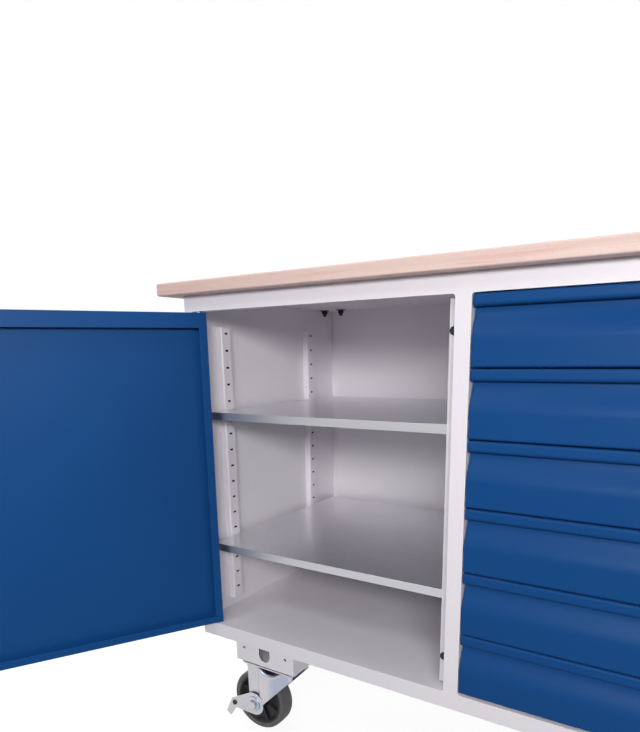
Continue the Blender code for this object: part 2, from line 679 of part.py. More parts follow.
def build_fork(name, parent, axle, top, head, crown):
    """Pressed fork with a crown plate, two legs and a riveted axle."""
    outer = FORK_HALF_WIDTH
    low = (crown[0], -crown[2], top - FORK_SHEET)
    high = (crown[1], crown[2], top)
    fork = piece(name, box(name, low, high), ZINC, parent)
    leg = leg_outline(axle, top - FORK_SHEET / 2, head[0], head[1])
    for side in (-1, 1):
        edges = sorted((side * outer, side * (outer - FORK_SHEET)))
        combine(fork, outline("leg", [leg], edges[0], edges[1], "Y"), "UNION")
    combine(fork, rod("axle", AXLE_RADIUS, -outer - AXLE_HEAD, outer + AXLE_HEAD, "Y", axle), "UNION")
    return fork


def build_wheel(prefix, parent):
    """Rubber tyre on a moulded rim, about the axle at the parent's origin."""
    half = TYRE_WIDTH / 2
    soft = TYRE_SHOULDER
    grip = WHEEL_RADIUS
    profile = [(grip, half - soft), (grip - 0.3 * soft, half - 0.3 * soft), (grip - soft, half),
               (RIM_RADIUS + soft, half), (RIM_RADIUS, half - soft / 2)]
    profile = profile[::-1] + [(r, -a) for r, a in profile]
    turned(prefix + "_tyre", profile, 32, TYRE, parent)
    hub = FORK_HALF_WIDTH - FORK_SHEET - 2 * GAP
    seat = half - soft / 2 - 2 * GAP
    rim = RIM_RADIUS - GAP
    bore = AXLE_RADIUS + GAP
    web = RIM_WEB / 2
    profile = [(bore, hub), (HUB_RADIUS, hub), (HUB_RADIUS, web), (rim - RIM_EDGE, web),
               (rim - RIM_EDGE / 2, seat), (rim, seat)]
    profile = profile + [(r, -a) for r, a in profile[::-1]]
    turned(prefix + "_rim", profile, 24, RIM, parent)


def build_pedal(name, parent):
    """Brake pedal: two bent arms outside the fork, pivoted on the axle, with a foot pad across."""
    inner = FORK_HALF_WIDTH + GAP
    outer = inner + PEDAL_ARM_SHEET
    half = PEDAL_ARM_HEIGHT / 2
    bend = math.radians(PEDAL_FOOT_DEGREES)
    mitre = half * math.tan(bend / 2)

    def on_foot(along, above):
        """A point on the arm's lower part, which leaves the elbow at the bend's angle."""
        return (-PEDAL_ELBOW - along * math.cos(bend) - above * math.sin(bend),
                above * math.cos(bend) - along * math.sin(bend))

    arm = arc((0, 0), PEDAL_EYE_RADIUS, -130, 130, 14)
    arm += [(-PEDAL_ELBOW / 2, half), (-PEDAL_ELBOW - mitre, half), on_foot(PEDAL_FOOT, half),
            on_foot(PEDAL_FOOT, -half), (mitre - PEDAL_ELBOW, -half), (-PEDAL_ELBOW / 2, -half)]
    bore = arc((0, 0), AXLE_RADIUS + GAP, 0, 345, 23)
    pressed = empty(name + "_pressed", parent)
    pressed.rotation_euler[1] = math.radians(-PEDAL_DROOP_DEGREES)
    pedal = piece(name, outline(name, [arm, bore], inner, outer, "Y"), ZINC, pressed)
    combine(pedal, outline("arm", [arm, bore], -outer, -inner, "Y"), "UNION")
    edge = PEDAL_ARM_SHEET / 2
    near, tip = PEDAL_FOOT - edge - PEDAL_PAD, PEDAL_FOOT - edge
    low, high = half - edge - PEDAL_PAD_THICKNESS, half - edge
    tread = [on_foot(near, low), on_foot(near, high), on_foot(tip, high), on_foot(tip, low)]
    combine(pedal, outline("pad", [tread], -inner - edge, inner + edge, "Y"), "UNION")


def build_castors():
    """Two swivel castors with brakes at the left, two fixed castors at the right."""
    rows = (("front", CASTOR_FROM_FRONT), ("rear", CABINET_DEPTH - CASTOR_FROM_FRONT))
    half_x = CASTOR_PLATE_X / 2
    half_y = CASTOR_PLATE_Y / 2
    for row, y in rows:
        swivel = empty(row + "_swivel_axis", ROOT, (-CARRIER_X, y, 0))
        name = row + "_swivel_plate"
        plate = piece(name, box(name, (-half_x, -half_y, CASTOR_TOP - CASTOR_PLATE_THICKNESS),
                                (half_x, half_y, CASTOR_TOP)), ZINC, swivel)
        race = rod("race", RACE_RADIUS, FORK_TOP + GAP, CASTOR_TOP - CASTOR_PLATE_THICKNESS / 2,
                   "Z", (0, 0), 28)
        combine(plate, race, "UNION")
        head = (-FORK_HEAD_BACK, FORK_HEAD_FRONT)
        build_fork(row + "_swivel_fork", swivel, (-CASTOR_TRAIL, WHEEL_RADIUS), FORK_TOP, head,
                   (*head, FORK_HALF_WIDTH))
        axle = empty(row + "_left_axle", swivel, (-CASTOR_TRAIL, 0, WHEEL_RADIUS))
        build_wheel(row + "_left", axle)
        build_pedal(row + "_brake_pedal", axle)
        fixed = empty(row + "_fixed_castor", ROOT, (CARRIER_X, y, 0))
        build_fork(row + "_fixed_fork", fixed, (0, WHEEL_RADIUS), CASTOR_TOP,
                   (-FORK_HEAD_HALF, FORK_HEAD_HALF), (-half_x, half_x, half_y))
        build_wheel(row + "_right", empty(row + "_right_axle", fixed, (0, 0, WHEEL_RADIUS)))


def stand_on_origin():
    """Move the root so that the middle of the footprint is the origin."""
    bpy.context.view_layer.update()
    graph = bpy.context.evaluated_depsgraph_get()
    points = []
    for solid in PARTS.objects:
        if solid.type != "MESH":
            continue
        shown = solid.evaluated_get(graph)
        mesh = shown.to_mesh()
        points += [shown.matrix_world @ vertex.co for vertex in mesh.vertices]
        shown.to_mesh_clear()
    low = [min(point[i] for point in points) for i in range(3)]
    high = [max(point[i] for point in points) for i in range(3)]
    ROOT.location = (-(low[0] + high[0]) / 2, -(low[1] + high[1]) / 2, -low[2])
    bpy.context.view_layer.update()


build_worktop()
build_front_frame()
build_cabinet_panels()
build_uprights()
build_shelves()
build_door()
build_bumpers()
build_drawers()
build_racks()
build_carriers()
build_castors()
stand_on_origin()
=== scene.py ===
# %% [markdown]
# # A mobile workbench, dressed over its CAD frame
# The CAD frame gives every sheet, drawer and castor its place and its motion. This script
# gives them the looks of the real bench: folded and powder-coated steel, a glued beech top,
# galvanised shelves and zinc-plated castors. The frame is loaded first. The dressed bench
# may not outgrow it.

# %% Load the frame
import json
import math

import bmesh
import bpy
from mathutils import Matrix, Vector


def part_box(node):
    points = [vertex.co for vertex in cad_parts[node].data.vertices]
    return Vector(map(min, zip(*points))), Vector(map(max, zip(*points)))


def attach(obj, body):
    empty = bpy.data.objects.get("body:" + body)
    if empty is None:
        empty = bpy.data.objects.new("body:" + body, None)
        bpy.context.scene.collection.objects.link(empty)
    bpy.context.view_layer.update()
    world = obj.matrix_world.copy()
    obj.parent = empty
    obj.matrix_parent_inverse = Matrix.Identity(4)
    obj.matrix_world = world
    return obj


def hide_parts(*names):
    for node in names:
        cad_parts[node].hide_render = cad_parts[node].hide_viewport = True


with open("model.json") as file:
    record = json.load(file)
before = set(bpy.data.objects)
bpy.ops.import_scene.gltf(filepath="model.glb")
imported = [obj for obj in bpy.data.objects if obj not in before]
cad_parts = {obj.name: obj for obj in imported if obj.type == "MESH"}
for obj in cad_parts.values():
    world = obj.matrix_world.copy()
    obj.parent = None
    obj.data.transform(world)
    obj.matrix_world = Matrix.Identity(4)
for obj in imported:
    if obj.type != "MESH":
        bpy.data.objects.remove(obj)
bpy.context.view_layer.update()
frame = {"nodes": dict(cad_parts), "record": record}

# %% [markdown]
# ## Camera
# The photograph looks into the cupboard from the right, from a little below the worktop. The
# bench sits off the middle of the frame, so the lens is shifted. Lining up a camera by eye is
# slow. Here the eye point, the three angles and the lens come from fitting corners of the
# cabinet, shelves and castor to the places where the photograph shows them.

# %% Camera
EYE = Vector((0.3876, -0.8926, 0.7586))
YAW, PITCH, ROLL = (math.radians(angle) for angle in (-32.793, -12.596, -0.906))
level_right = Vector((math.cos(YAW), -math.sin(YAW), 0))
level_ahead = Vector((math.sin(YAW), math.cos(YAW), 0))
ahead = level_ahead * math.cos(PITCH) + Vector((0, 0, math.sin(PITCH)))
level_up = Vector((0, 0, math.cos(PITCH))) - level_ahead * math.sin(PITCH)
camera_right = level_right * math.cos(ROLL) + level_up * math.sin(ROLL)
camera_up = level_up * math.cos(ROLL) - level_right * math.sin(ROLL)

camera_data = bpy.data.cameras.new("photo_camera")
camera_data.lens = 29.27
camera_data.shift_x, camera_data.shift_y = -0.0056, 0.1648
camera_data.clip_start = 0.01
camera = bpy.data.objects.new("photo_camera", camera_data)
camera_turn = Matrix((camera_right, camera_up, -ahead)).transposed().to_4x4()
camera.matrix_world = Matrix.Translation(EYE) @ camera_turn
bpy.context.scene.collection.objects.link(camera)
bpy.context.scene.camera = camera
print("camera at", tuple(round(c, 3) for c in EYE), "lens", camera_data.lens)

# %% [markdown]
# ## Shader helpers
# Node trees are long when each node is made and wired by hand. `add` makes one node, sets its
# properties, and takes for each input either a number or the output of an earlier node.
# `group` opens a node group with named inputs and outputs, for an effect that several
# finishes share.

# %% Shader helpers
def add(tree, kind, inputs=None, **properties):
    """One shader node, with its properties set and its inputs set or wired."""
    node = tree.nodes.new("ShaderNode" + kind)
    for name, value in properties.items():
        setattr(node, name, value)
    for name, value in (inputs or {}).items():
        if isinstance(value, bpy.types.NodeSocket):
            tree.links.new(value, node.inputs[name])
        else:
            node.inputs[name].default_value = value
    return node


def calc(tree, operation, *values):
    """The output of a Math node on one to three values."""
    return add(tree, "Math", dict(enumerate(values)), operation=operation).outputs[0]


def blend_colours(tree, share, first, second):
    """The colour between two, by a share from 0 to 1."""
    return add(tree, "Mix", {0: share, 6: first, 7: second}, data_type="RGBA").outputs[2]


def remap(tree, value, low, high, new_low=0.0, new_high=1.0):
    """A value stretched from one range to another, and held there."""
    node = add(tree, "MapRange", {"Value": value, "From Min": low, "From Max": high,
                                  "To Min": new_low, "To Max": new_high})
    return node.outputs["Result"]


def noise(tree, vector, scale, detail=2.0):
    """Smooth noise, about 0 to 1, over texture coordinates."""
    return add(tree, "TexNoise", {"Vector": vector, "Scale": scale, "Detail": detail}).outputs[0]


def stretch(tree, vector, scale):
    """Texture coordinates multiplied along each axis."""
    return add(tree, "Mapping", {"Vector": vector, "Scale": scale}).outputs["Vector"]


def group(name, inputs, outputs):
    """A node group with named number inputs and outputs."""
    tree = bpy.data.node_groups.new(name, "ShaderNodeTree")
    for label, value in inputs.items():
        socket = tree.interface.new_socket(label, in_out="INPUT", socket_type="NodeSocketFloat")
        socket.default_value = value
    for label in outputs:
        tree.interface.new_socket(label, in_out="OUTPUT", socket_type="NodeSocketFloat")
    return tree, tree.nodes.new("NodeGroupInput").outputs, tree.nodes.new("NodeGroupOutput").inputs


def use_group(tree, made, **values):
    """Place a group in a material, with its own values, and return its outputs."""
    node = add(tree, "Group", node_tree=made)
    for name, value in values.items():
        node.inputs[name.replace("_", " ").title()].default_value = value
    return node.outputs


print("shader helpers ready")

# %% [markdown]
# ## Shared effect: powder coat
# Powder paint melts on the sheet and sets with a fine orange-peel skin. The film is never quite
# even, so tone and gloss drift over a hand's width. Noise at three scales gives the skin, the
# drift in gloss and the drift in tone. It is a group because the grey cabinet and the blue
# fronts wear the same coat in two colours.

# %% Powder coat group
powder_coat, coat_in, coat_out = group(
    "powder_coat", {"Peel Size": 0.0016, "Gloss": 0.4, "Gloss Drift": 0.06},
    ("Tone", "Roughness", "Height"))
spot = add(powder_coat, "TexCoord").outputs["Object"]
peel = noise(powder_coat, spot, calc(powder_coat, "DIVIDE", 1.0, coat_in["Peel Size"]), 1.5)
drift = calc(powder_coat, "SUBTRACT", noise(powder_coat, spot, 9.0, 3.0), 0.5)
cloud = noise(powder_coat, spot, 2.3, 4.0)
gloss = calc(powder_coat, "MULTIPLY_ADD", drift, coat_in["Gloss Drift"], coat_in["Gloss"])
powder_coat.links.new(remap(powder_coat, cloud, 0.3, 0.7), coat_out["Tone"])
powder_coat.links.new(gloss, coat_out["Roughness"])
powder_coat.links.new(peel, coat_out["Height"])
print("group", powder_coat.name)

# %% [markdown]
# ## Shared effect: settled dust
# Even a clean bench has a trace of dust where a surface looks up, and none where it looks down
# or sideways. The normal's upward part, broken up by noise, makes that mask. Each finish then
# decides how much paler and duller the dust makes it.

# %% Settled dust group
settled_dust, dust_in, dust_out = group("settled_dust", {"Amount": 0.3}, ("Mask",))
facing = add(settled_dust, "SeparateXYZ", {0: add(settled_dust, "NewGeometry").outputs["Normal"]})
looking_up = remap(settled_dust, facing.outputs["Z"], 0.55, 0.95)
patches = noise(settled_dust, add(settled_dust, "TexCoord").outputs["Object"], 24.0, 5.0)
broken = remap(settled_dust, patches, 0.38, 0.68, 0.25, 1.0)
settled = calc(settled_dust, "MULTIPLY", looking_up, broken)
settled_dust.links.new(calc(settled_dust, "MULTIPLY", settled, dust_in["Amount"]), dust_out["Mask"])
print("group", settled_dust.name)

# %% [markdown]
# ## Shared effect: zinc skin
# Zinc freezes on steel in crystals. On dipped sheet they show as a faint patchwork of flakes, and
# on plated castor parts they are too fine to see, but rolling and rubbing leave hair-fine
# streaks on both. A Voronoi pattern gives each flake its own tone, and stretched noise the streaks.

# %% Zinc skin group
zinc_skin, zinc_in, zinc_out = group(
    "zinc_skin", {"Flake Size": 0.009, "Gloss": 0.3, "Gloss Drift": 0.1},
    ("Flake", "Streak", "Roughness", "Height"))
spot = add(zinc_skin, "TexCoord").outputs["Object"]
flakes = add(zinc_skin, "TexVoronoi", {
    "Vector": spot, "Scale": calc(zinc_skin, "DIVIDE", 1.0, zinc_in["Flake Size"])})
flake = add(zinc_skin, "SeparateColor", {0: flakes.outputs["Color"]}).outputs[0]
streak = noise(zinc_skin, stretch(zinc_skin, spot, (9.0, 700.0, 700.0)), 1.0, 3.0)
uneven = calc(zinc_skin, "ADD", calc(zinc_skin, "MULTIPLY", flake, 0.5),
              calc(zinc_skin, "MULTIPLY", streak, 0.5))
gloss = calc(zinc_skin, "MULTIPLY_ADD", calc(zinc_skin, "SUBTRACT", uneven, 0.5),
             zinc_in["Gloss Drift"], zinc_in["Gloss"])
zinc_skin.links.new(flake, zinc_out["Flake"])
zinc_skin.links.new(streak, zinc_out["Streak"])
zinc_skin.links.new(gloss, zinc_out["Roughness"])
zinc_skin.links.new(noise(zinc_skin, spot, 260.0, 2.0), zinc_out["Height"])
print("group", zinc_skin.name)

# %% [markdown]
# ## Shared effect: moulded grain
# Rubber and moulded plastic copy the fine texture of their mould and pick up scuffs. One noise
# makes the grain and a second, coarser one the scuffed, slightly paler places.

# %% Moulded grain group
moulded_grain, grain_in, grain_out = group(
    "moulded_grain", {"Grain Size": 0.0006, "Gloss": 0.6}, ("Scuff", "Roughness", "Height"))
spot = add(moulded_grain, "TexCoord").outputs["Object"]
fine = noise(moulded_grain, spot, calc(moulded_grain, "DIVIDE", 1.0, grain_in["Grain Size"]), 2.0)
scuff = remap(moulded_grain, noise(moulded_grain, spot, 38.0, 6.0), 0.45, 0.72)
dull = calc(moulded_grain, "MULTIPLY_ADD", scuff, 0.14, grain_in["Gloss"])
moulded_grain.links.new(scuff, grain_out["Scuff"])
moulded_grain.links.new(dull, grain_out["Roughness"])
moulded_grain.links.new(fine, grain_out["Height"])
print("group", moulded_grain.name)

# %% [markdown]
# ## Finishes
# Each slot of the record gets one material. A finish starts as a Principled shader whose fixed
# values are set on its own sockets. Whatever changes over the surface, colour, roughness and
# bump, is wired in.

# %% Start of a finish
FINISHES = {}


def finish(slot, **fixed):
    """A new material for a slot, with the shader's fixed values set on its own sockets."""
    material = bpy.data.materials.new(slot + "_finish")
    material.use_nodes = True
    tree = material.node_tree
    shader = tree.nodes["Principled BSDF"]
    for name, value in fixed.items():
        shader.inputs[name.replace("_", " ").title().replace("Ior", "IOR")].default_value = value
    FINISHES[slot] = material
    return tree, shader


def surface(tree, shader, colour, roughness, height, depth, strength=1.0):
    """Wire what changes over a surface: its colour, its roughness and its relief in metres."""
    tree.links.new(colour, shader.inputs["Base Color"])
    tree.links.new(roughness, shader.inputs["Roughness"])
    bump = add(tree, "Bump", {"Height": height, "Distance": depth, "Strength": strength})
    tree.links.new(bump.outputs["Normal"], shader.inputs["Normal"])


def dusted(tree, colour, dust, dust_colour=(0.62, 0.6, 0.58, 1)):
    """A colour under a trace of dust."""
    return blend_colours(tree, dust, colour, dust_colour)


print("finishes start from the Principled shader")

# %% [markdown]
# ## Grey and blue powder coat
# The cabinet is a pale, slightly cool grey, and the door and drawer fronts are a deep gentian
# blue. Both are satin: broad soft highlights, no mirror. Two close tones of each colour are
# mixed by the coat's own drift, so that no large panel is one flat colour.

# %% Grey and blue finishes
COATS = {
    "cabinet_grey": ((0.84, 0.805, 0.85, 1), (0.81, 0.775, 0.82, 1), 0.42, 0.10, 0.5),
    "front_blue": ((0.0050, 0.064, 0.226, 1), (0.0040, 0.055, 0.200, 1), 0.42, 0.02, 0.12),
}
for slot, (pale, deep, gloss, dust_amount, shine) in COATS.items():
    tree, shader = finish(slot, metallic=0.0, specular_ior_level=shine)
    coat = use_group(tree, powder_coat, peel_size=0.0015, gloss=gloss, gloss_drift=0.09)
    dust = use_group(tree, settled_dust, amount=dust_amount)["Mask"]
    colour = dusted(tree, blend_colours(tree, coat["Tone"], pale, deep), dust)
    surface(tree, shader, colour, coat["Roughness"], coat["Height"], 0.00012, 0.5)
print("coats:", list(COATS))

# %% [markdown]
# ## Galvanised and zinc-plated steel
# The shelves are bare galvanised sheet, bright enough to mirror the uprights softly, and their
# folded flanges are painted darker as painted shade. The castors, clips, pins and bolts are
# zinc-plated, and passivation tints them a faint blue in clouds; where a pressing curves away
# sideways, a painted bluish shade darkens them. Both are metal all over, so the metallic value
# sits on the shader and only tone, gloss and relief change.

# %% Galvanised and zinc finishes
tree, shader = finish("galvanised_steel", metallic=1.0)
skin = use_group(tree, zinc_skin, flake_size=0.008, gloss=0.32, gloss_drift=0.06)
tone = calc(tree, "ADD", calc(tree, "MULTIPLY", skin["Flake"], 0.45),
            calc(tree, "MULTIPLY", skin["Streak"], 0.55))
rolled = blend_colours(tree, tone, (0.76, 0.755, 0.785, 1), (0.82, 0.815, 0.845, 1))
# Painted shade: faces that do not look up, such as the folded flanges, get a darker colour.
upward = add(tree, "SeparateXYZ", {0: add(tree, "TexCoord").outputs["Normal"]}).outputs["Z"]
colour = blend_colours(tree, remap(tree, upward, 0.3, 0.8), (0.52, 0.515, 0.545, 1), rolled)
dust = use_group(tree, settled_dust, amount=0.12)["Mask"]
surface(tree, shader, dusted(tree, colour, dust), skin["Roughness"], skin["Height"], 0.00002, 0.12)

tree, shader = finish("zinc_plate", metallic=1.0)
skin = use_group(tree, zinc_skin, flake_size=0.0015, gloss=0.3, gloss_drift=0.16)
spot = add(tree, "TexCoord").outputs["Object"]
# The blue clouds are passivation; the blue where a surface faces sideways is painted shade.
turned = add(tree, "SeparateXYZ", {0: add(tree, "TexCoord").outputs["Normal"]}).outputs["X"]
cloudy = remap(tree, noise(tree, spot, 14.0, 2.0), 0.3, 0.7, 0.0, 0.35)
passivation_and_painted_shade = calc(tree, "MAXIMUM", cloudy, remap(tree, turned, 0.02, 0.12))
colour = blend_colours(tree, passivation_and_painted_shade, (0.57, 0.55, 0.565, 1), (0.37, 0.42, 0.52, 1))
colour = blend_colours(tree, calc(tree, "MULTIPLY", skin["Streak"], 0.2), colour, (0.45, 0.45, 0.47, 1))
surface(tree, shader, colour, skin["Roughness"], skin["Height"], 0.00005, 0.4)
print("metals: galvanised_steel, zinc_plate")

# %% [markdown]
# ## Rubber, tyre and rim
# The door bumpers are black rubber, the tyres a grey, non-marking rubber, and the rims black
# moulded plastic. They share the moulded grain and differ in colour, gloss and how far scuffs pale
# them.

# %% Rubber and plastic finishes
MOULDED = {
    "black_rubber": ((0.012, 0.012, 0.013, 1), (0.03, 0.03, 0.031, 1), 0.55),
    "grey_tyre": ((0.115, 0.107, 0.112, 1), (0.165, 0.156, 0.162, 1), 0.56),
    "black_rim": ((0.010, 0.010, 0.011, 1), (0.024, 0.024, 0.026, 1), 0.42),
}
for slot, (clean, scuffed, gloss) in MOULDED.items():
    tree, shader = finish(slot, metallic=0.0, ior=1.5, specular_ior_level=0.3)
    grain = use_group(tree, moulded_grain, grain_size=0.0007, gloss=gloss)
    dust = use_group(tree, settled_dust, amount=0.08)["Mask"]
    colour = blend_colours(tree, grain["Scuff"], clean, scuffed)
    surface(tree, shader, dusted(tree, colour, dust), grain["Roughness"], grain["Height"], 0.00015, 0.4)
print("moulded:", list(MOULDED))

# %% [markdown]
# ## Beech
# The worktop is glued up from beech staves that run along its length and are butted end to end.
# A picture of wood would stretch at the edges. Here the wood is a solid block of pattern instead:
# each stave has its own tone and its own heart somewhere below it, growth rings lie around that
# heart, short dark flecks run with the grain, and pink streaks show where the heartwood is near.
# Sawing the block gives long grain on the top and the front, and rings on the ends, as in real
# timber.

# %% Beech: staves and their tones
tree, shader = finish("beech", metallic=0.0, ior=1.48)
spot = add(tree, "TexCoord").outputs["Object"]
place = add(tree, "SeparateXYZ", {0: spot}).outputs
STAVE_WIDTH, STAVE_LENGTH, FIRST_JOINT = 0.043, 0.62, 0.0165
across = calc(tree, "ADD", place["Y"], FIRST_JOINT)
stave = calc(tree, "FLOOR", calc(tree, "DIVIDE", across, STAVE_WIDTH))
shifted = add(tree, "TexWhiteNoise", {"W": stave}, noise_dimensions="1D").outputs["Value"]
along = calc(tree, "DIVIDE", place["X"], STAVE_LENGTH)
length_index = calc(tree, "FLOOR", calc(tree, "MULTIPLY_ADD", shifted, 3.0, along))
stave_id = calc(tree, "MULTIPLY_ADD", stave, 17.0, length_index)
own = add(tree, "TexWhiteNoise", {"W": stave_id}, noise_dimensions="1D")
own_tone = own.outputs["Value"]
own_shift = add(tree, "SeparateColor", {0: own.outputs["Color"]}).outputs

# %% Beech: rings, grain and flecks
HEART_Z, RING_WIDTH = 0.76, 0.0034
wobble = noise(tree, stretch(tree, spot, (1.7, 9.0, 9.0)), 1.0, 3.0)
heart_y = calc(tree, "MULTIPLY_ADD", own_shift[0], 0.05, calc(tree, "MULTIPLY", stave, STAVE_WIDTH))
off_y = calc(tree, "SUBTRACT", place["Y"], heart_y)
off_z = calc(tree, "SUBTRACT", place["Z"], calc(tree, "MULTIPLY_ADD", own_shift[1], 0.07, HEART_Z))
heart_gap = calc(tree, "SQRT", calc(tree, "ADD", calc(tree, "MULTIPLY", off_y, off_y),
                                    calc(tree, "MULTIPLY", off_z, off_z)))
wavy_gap = calc(tree, "MULTIPLY_ADD", wobble, 0.011, heart_gap)
ring = calc(tree, "FRACT", calc(tree, "DIVIDE", wavy_gap, RING_WIDTH))
grain_line = noise(tree, stretch(tree, spot, (6.0, 420.0, 420.0)), 1.0, 4.0)
fleck = noise(tree, stretch(tree, spot, (170.0, 1500.0, 1500.0)), 1.0, 1.0)
fleck = remap(tree, fleck, 0.64, 0.72)
band = noise(tree, stretch(tree, spot, (0.9, 55.0, 55.0)), 1.0, 3.0)
blush = noise(tree, stretch(tree, spot, (7.0, 170.0, 170.0)), 1.0, 2.0)
print("beech staves", STAVE_WIDTH, "m wide")

# %% Beech: colour and surface
colour = blend_colours(tree, own_tone, (0.80, 0.615, 0.57, 1), (0.735, 0.545, 0.495, 1))
MARKS = (
    (remap(tree, band, 0.42, 0.66, 0.0, 0.6), (0.67, 0.475, 0.42, 1)),
    (calc(tree, "MULTIPLY", ring, 0.2), (0.66, 0.47, 0.41, 1)),
    (remap(tree, grain_line, 0.45, 0.75, 0.0, 0.22), (0.61, 0.42, 0.365, 1)),
    (remap(tree, blush, 0.56, 0.68, 0.0, 0.55), (0.72, 0.41, 0.36, 1)),
    (calc(tree, "MULTIPLY", fleck, 0.4), (0.52, 0.35, 0.29, 1)),
)
for share, mark in MARKS:
    colour = blend_colours(tree, share, colour, mark)
relief = calc(tree, "SUBTRACT", grain_line, calc(tree, "MULTIPLY", fleck, 0.7))
surface(tree, shader, colour, remap(tree, grain_line, 0.3, 0.7, 0.56, 0.70), relief, 0.00008, 0.5)
print("finishes:", sorted(FINISHES))

# %% [markdown]
# ## Studio
# The photograph is a cut-out on white. A pale floor takes the bench's shadow, and the world is
# white to the camera and in reflections but gives only part of that light, so the background
# does not brighten the bench. A wide, low softbox at the right front reaches deep into the
# cupboard and leaves its ceiling dark, as in the photograph. A smaller one and a high fill at the
# left even it out, and soft lamps at the sides, above and behind light the other views.

# %% World and floor
scene = bpy.context.scene
scene.view_settings.view_transform = "Standard"
world = bpy.data.worlds.new("studio")
world.use_nodes = True
scene.world = world
sky = world.node_tree
AMBIENT = 0.08


def seen_directly(tree):
    """1 for camera, mirror and glass rays, 0 for the rays that light the bench."""
    path = add(tree, "LightPath").outputs
    either = calc(tree, "MAXIMUM", path["Is Camera Ray"], path["Is Glossy Ray"])
    return calc(tree, "MAXIMUM", either, path["Is Transmission Ray"])


level = remap(sky, seen_directly(sky), 0.0, 1.0, AMBIENT, 1.0)
sky.links.new(level, sky.nodes["Background"].inputs["Strength"])
sky.nodes["Background"].inputs["Color"].default_value = (1, 1, 1, 1)

floor_mesh = bpy.data.meshes.new("studio_floor")
FLOOR_HALF = 14.0
corners = [(-FLOOR_HALF, -FLOOR_HALF, 0), (FLOOR_HALF, -FLOOR_HALF, 0),
           (FLOOR_HALF, FLOOR_HALF, 0), (-FLOOR_HALF, FLOOR_HALF, 0)]
floor_mesh.from_pydata(corners, [], [(0, 1, 2, 3)])
floor = bpy.data.objects.new("studio_floor", floor_mesh)
scene.collection.objects.link(floor)
pale_floor = bpy.data.materials.new("pale_floor")
pale_floor.use_nodes = True
tree = pale_floor.node_tree
shader = tree.nodes["Principled BSDF"]
speckle = noise(tree, add(tree, "TexCoord").outputs["Object"], 60.0, 4.0)
tree.links.new(blend_colours(tree, speckle, (0.16, 0.16, 0.16, 1), (0.18, 0.18, 0.18, 1)),
               shader.inputs["Base Color"])
shader.inputs["Roughness"].default_value = 0.9
shader.inputs["Emission Strength"].default_value = 0.87
tree.links.new(seen_directly(tree), shader.inputs["Emission Color"])
floor_mesh.materials.append(pale_floor)
print("floor", 2 * FLOOR_HALF, "m wide")

# %% Lamps
LAMPS = {
    "key_softbox": ((0.93, -1.65, 1.16), (1.0, 0.36), 24),
    "near_softbox": ((0.3, -1.7, 1.14), (0.6, 0.36), 5.4),
    "left_front_fill": ((-0.6, -1.3, 1.9), (0.6, 0.6), 6.1),
    "left_lamp": ((-3.0, 0.2, 1.7), (2.0, 2.0), 38),
    "right_lamp": ((3.0, 0.4, 1.7), (2.0, 2.0), 34),
    "top_lamp": ((0.0, 0.5, 3.2), (2.4, 2.4), 24),
    "back_lamp": ((-0.3, 3.2, 1.8), (2.2, 2.2), 40),
}
for name, (where, across, power) in LAMPS.items():
    lamp_data = bpy.data.lights.new(name, "AREA")
    lamp_data.shape = "ELLIPSE"
    lamp_data.size, lamp_data.size_y = across
    lamp_data.energy = power
    lamp = bpy.data.objects.new(name, lamp_data)
    lamp.location = where
    lamp.rotation_euler = (Vector((0, 0, 0.5)) - Vector(where)).to_track_quat("-Z", "Y").to_euler()
    scene.collection.objects.link(lamp)
print("lamps:", list(LAMPS))

# %% [markdown]
# ## Piece helpers
# Each piece of the bench is made the same way at the end: it gets the finish of its slot, rides on
# a body of the frame, and may stand for CAD nodes. `make` does that once, so the cells below
# only describe shapes.

# %% Piece helpers
BODY_OF = {node: body for body, members in frame["record"]["behaviour"]["bodies"].items()
           for node in members}
SLOT_OF = {part["node"]: part["material_slot"] for part in frame["record"]["subparts"]}
ROWS, HANDS = ("front", "rear"), ("left", "right")


def to_mesh(work, name, sharp=None):
    """A smooth mesh from a bmesh; edges sharper than an angle in degrees stay crisp."""
    bmesh.ops.recalc_face_normals(work, faces=work.faces)
    mesh = bpy.data.meshes.new(name)
    work.to_mesh(mesh)
    work.free()
    mesh.polygons.foreach_set("use_smooth", [True] * len(mesh.polygons))
    if sharp is not None:
        mesh.set_sharp_from_angle(angle=math.radians(sharp))
    return mesh


def size_of(low, high):
    """The size of a box between two corners, for printing."""
    return [round(c, 4) for c in high - low]


def make(name, shape, slot, body, *stands_for, sharp=None):
    """A piece with its slot's finish that rides on a body and may stand for CAD nodes."""
    mesh = to_mesh(shape, name, sharp) if isinstance(shape, bmesh.types.BMesh) else shape
    mesh.materials.clear()
    mesh.materials.append(FINISHES[slot])
    piece = bpy.data.objects.new(name, mesh)
    scene.collection.objects.link(piece)
    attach(piece, body)
    if stands_for:
        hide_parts(*stands_for)
    return piece


def round_edges(piece, radius, steps=2, angle=35):
    """Round a piece's sharp edges, and keep its flat faces flat in the shading."""
    rounding = piece.modifiers.new("rounded_edges", "BEVEL")
    rounding.width = radius
    rounding.segments = steps
    rounding.limit_method = "ANGLE"
    rounding.angle_limit = math.radians(angle)
    rounding.use_clamp_overlap = False
    piece.modifiers.new("flat_faces", "WEIGHTED_NORMAL").weight = 100
    return piece


print("piece helpers ready")

# %% [markdown]
# ## Folded sheet metal
# A press brake cannot fold a knife edge: every fold of the cabinet, door, shelves and uprights has
# a radius of about a millimetre, and that radius catches the light. The CAD sheets have the right
# shape with sharp folds. `soften` copies such a sheet, merges its flat triangles and rounds its
# edges with a Bevel modifier, so the copy stays exactly where the sheet is. Only the floor's
# front edge laps a little over the rounded sill, because the photograph shows no seam there.

# %% Soften the sheets
FLOOR_LAP = 0.0006


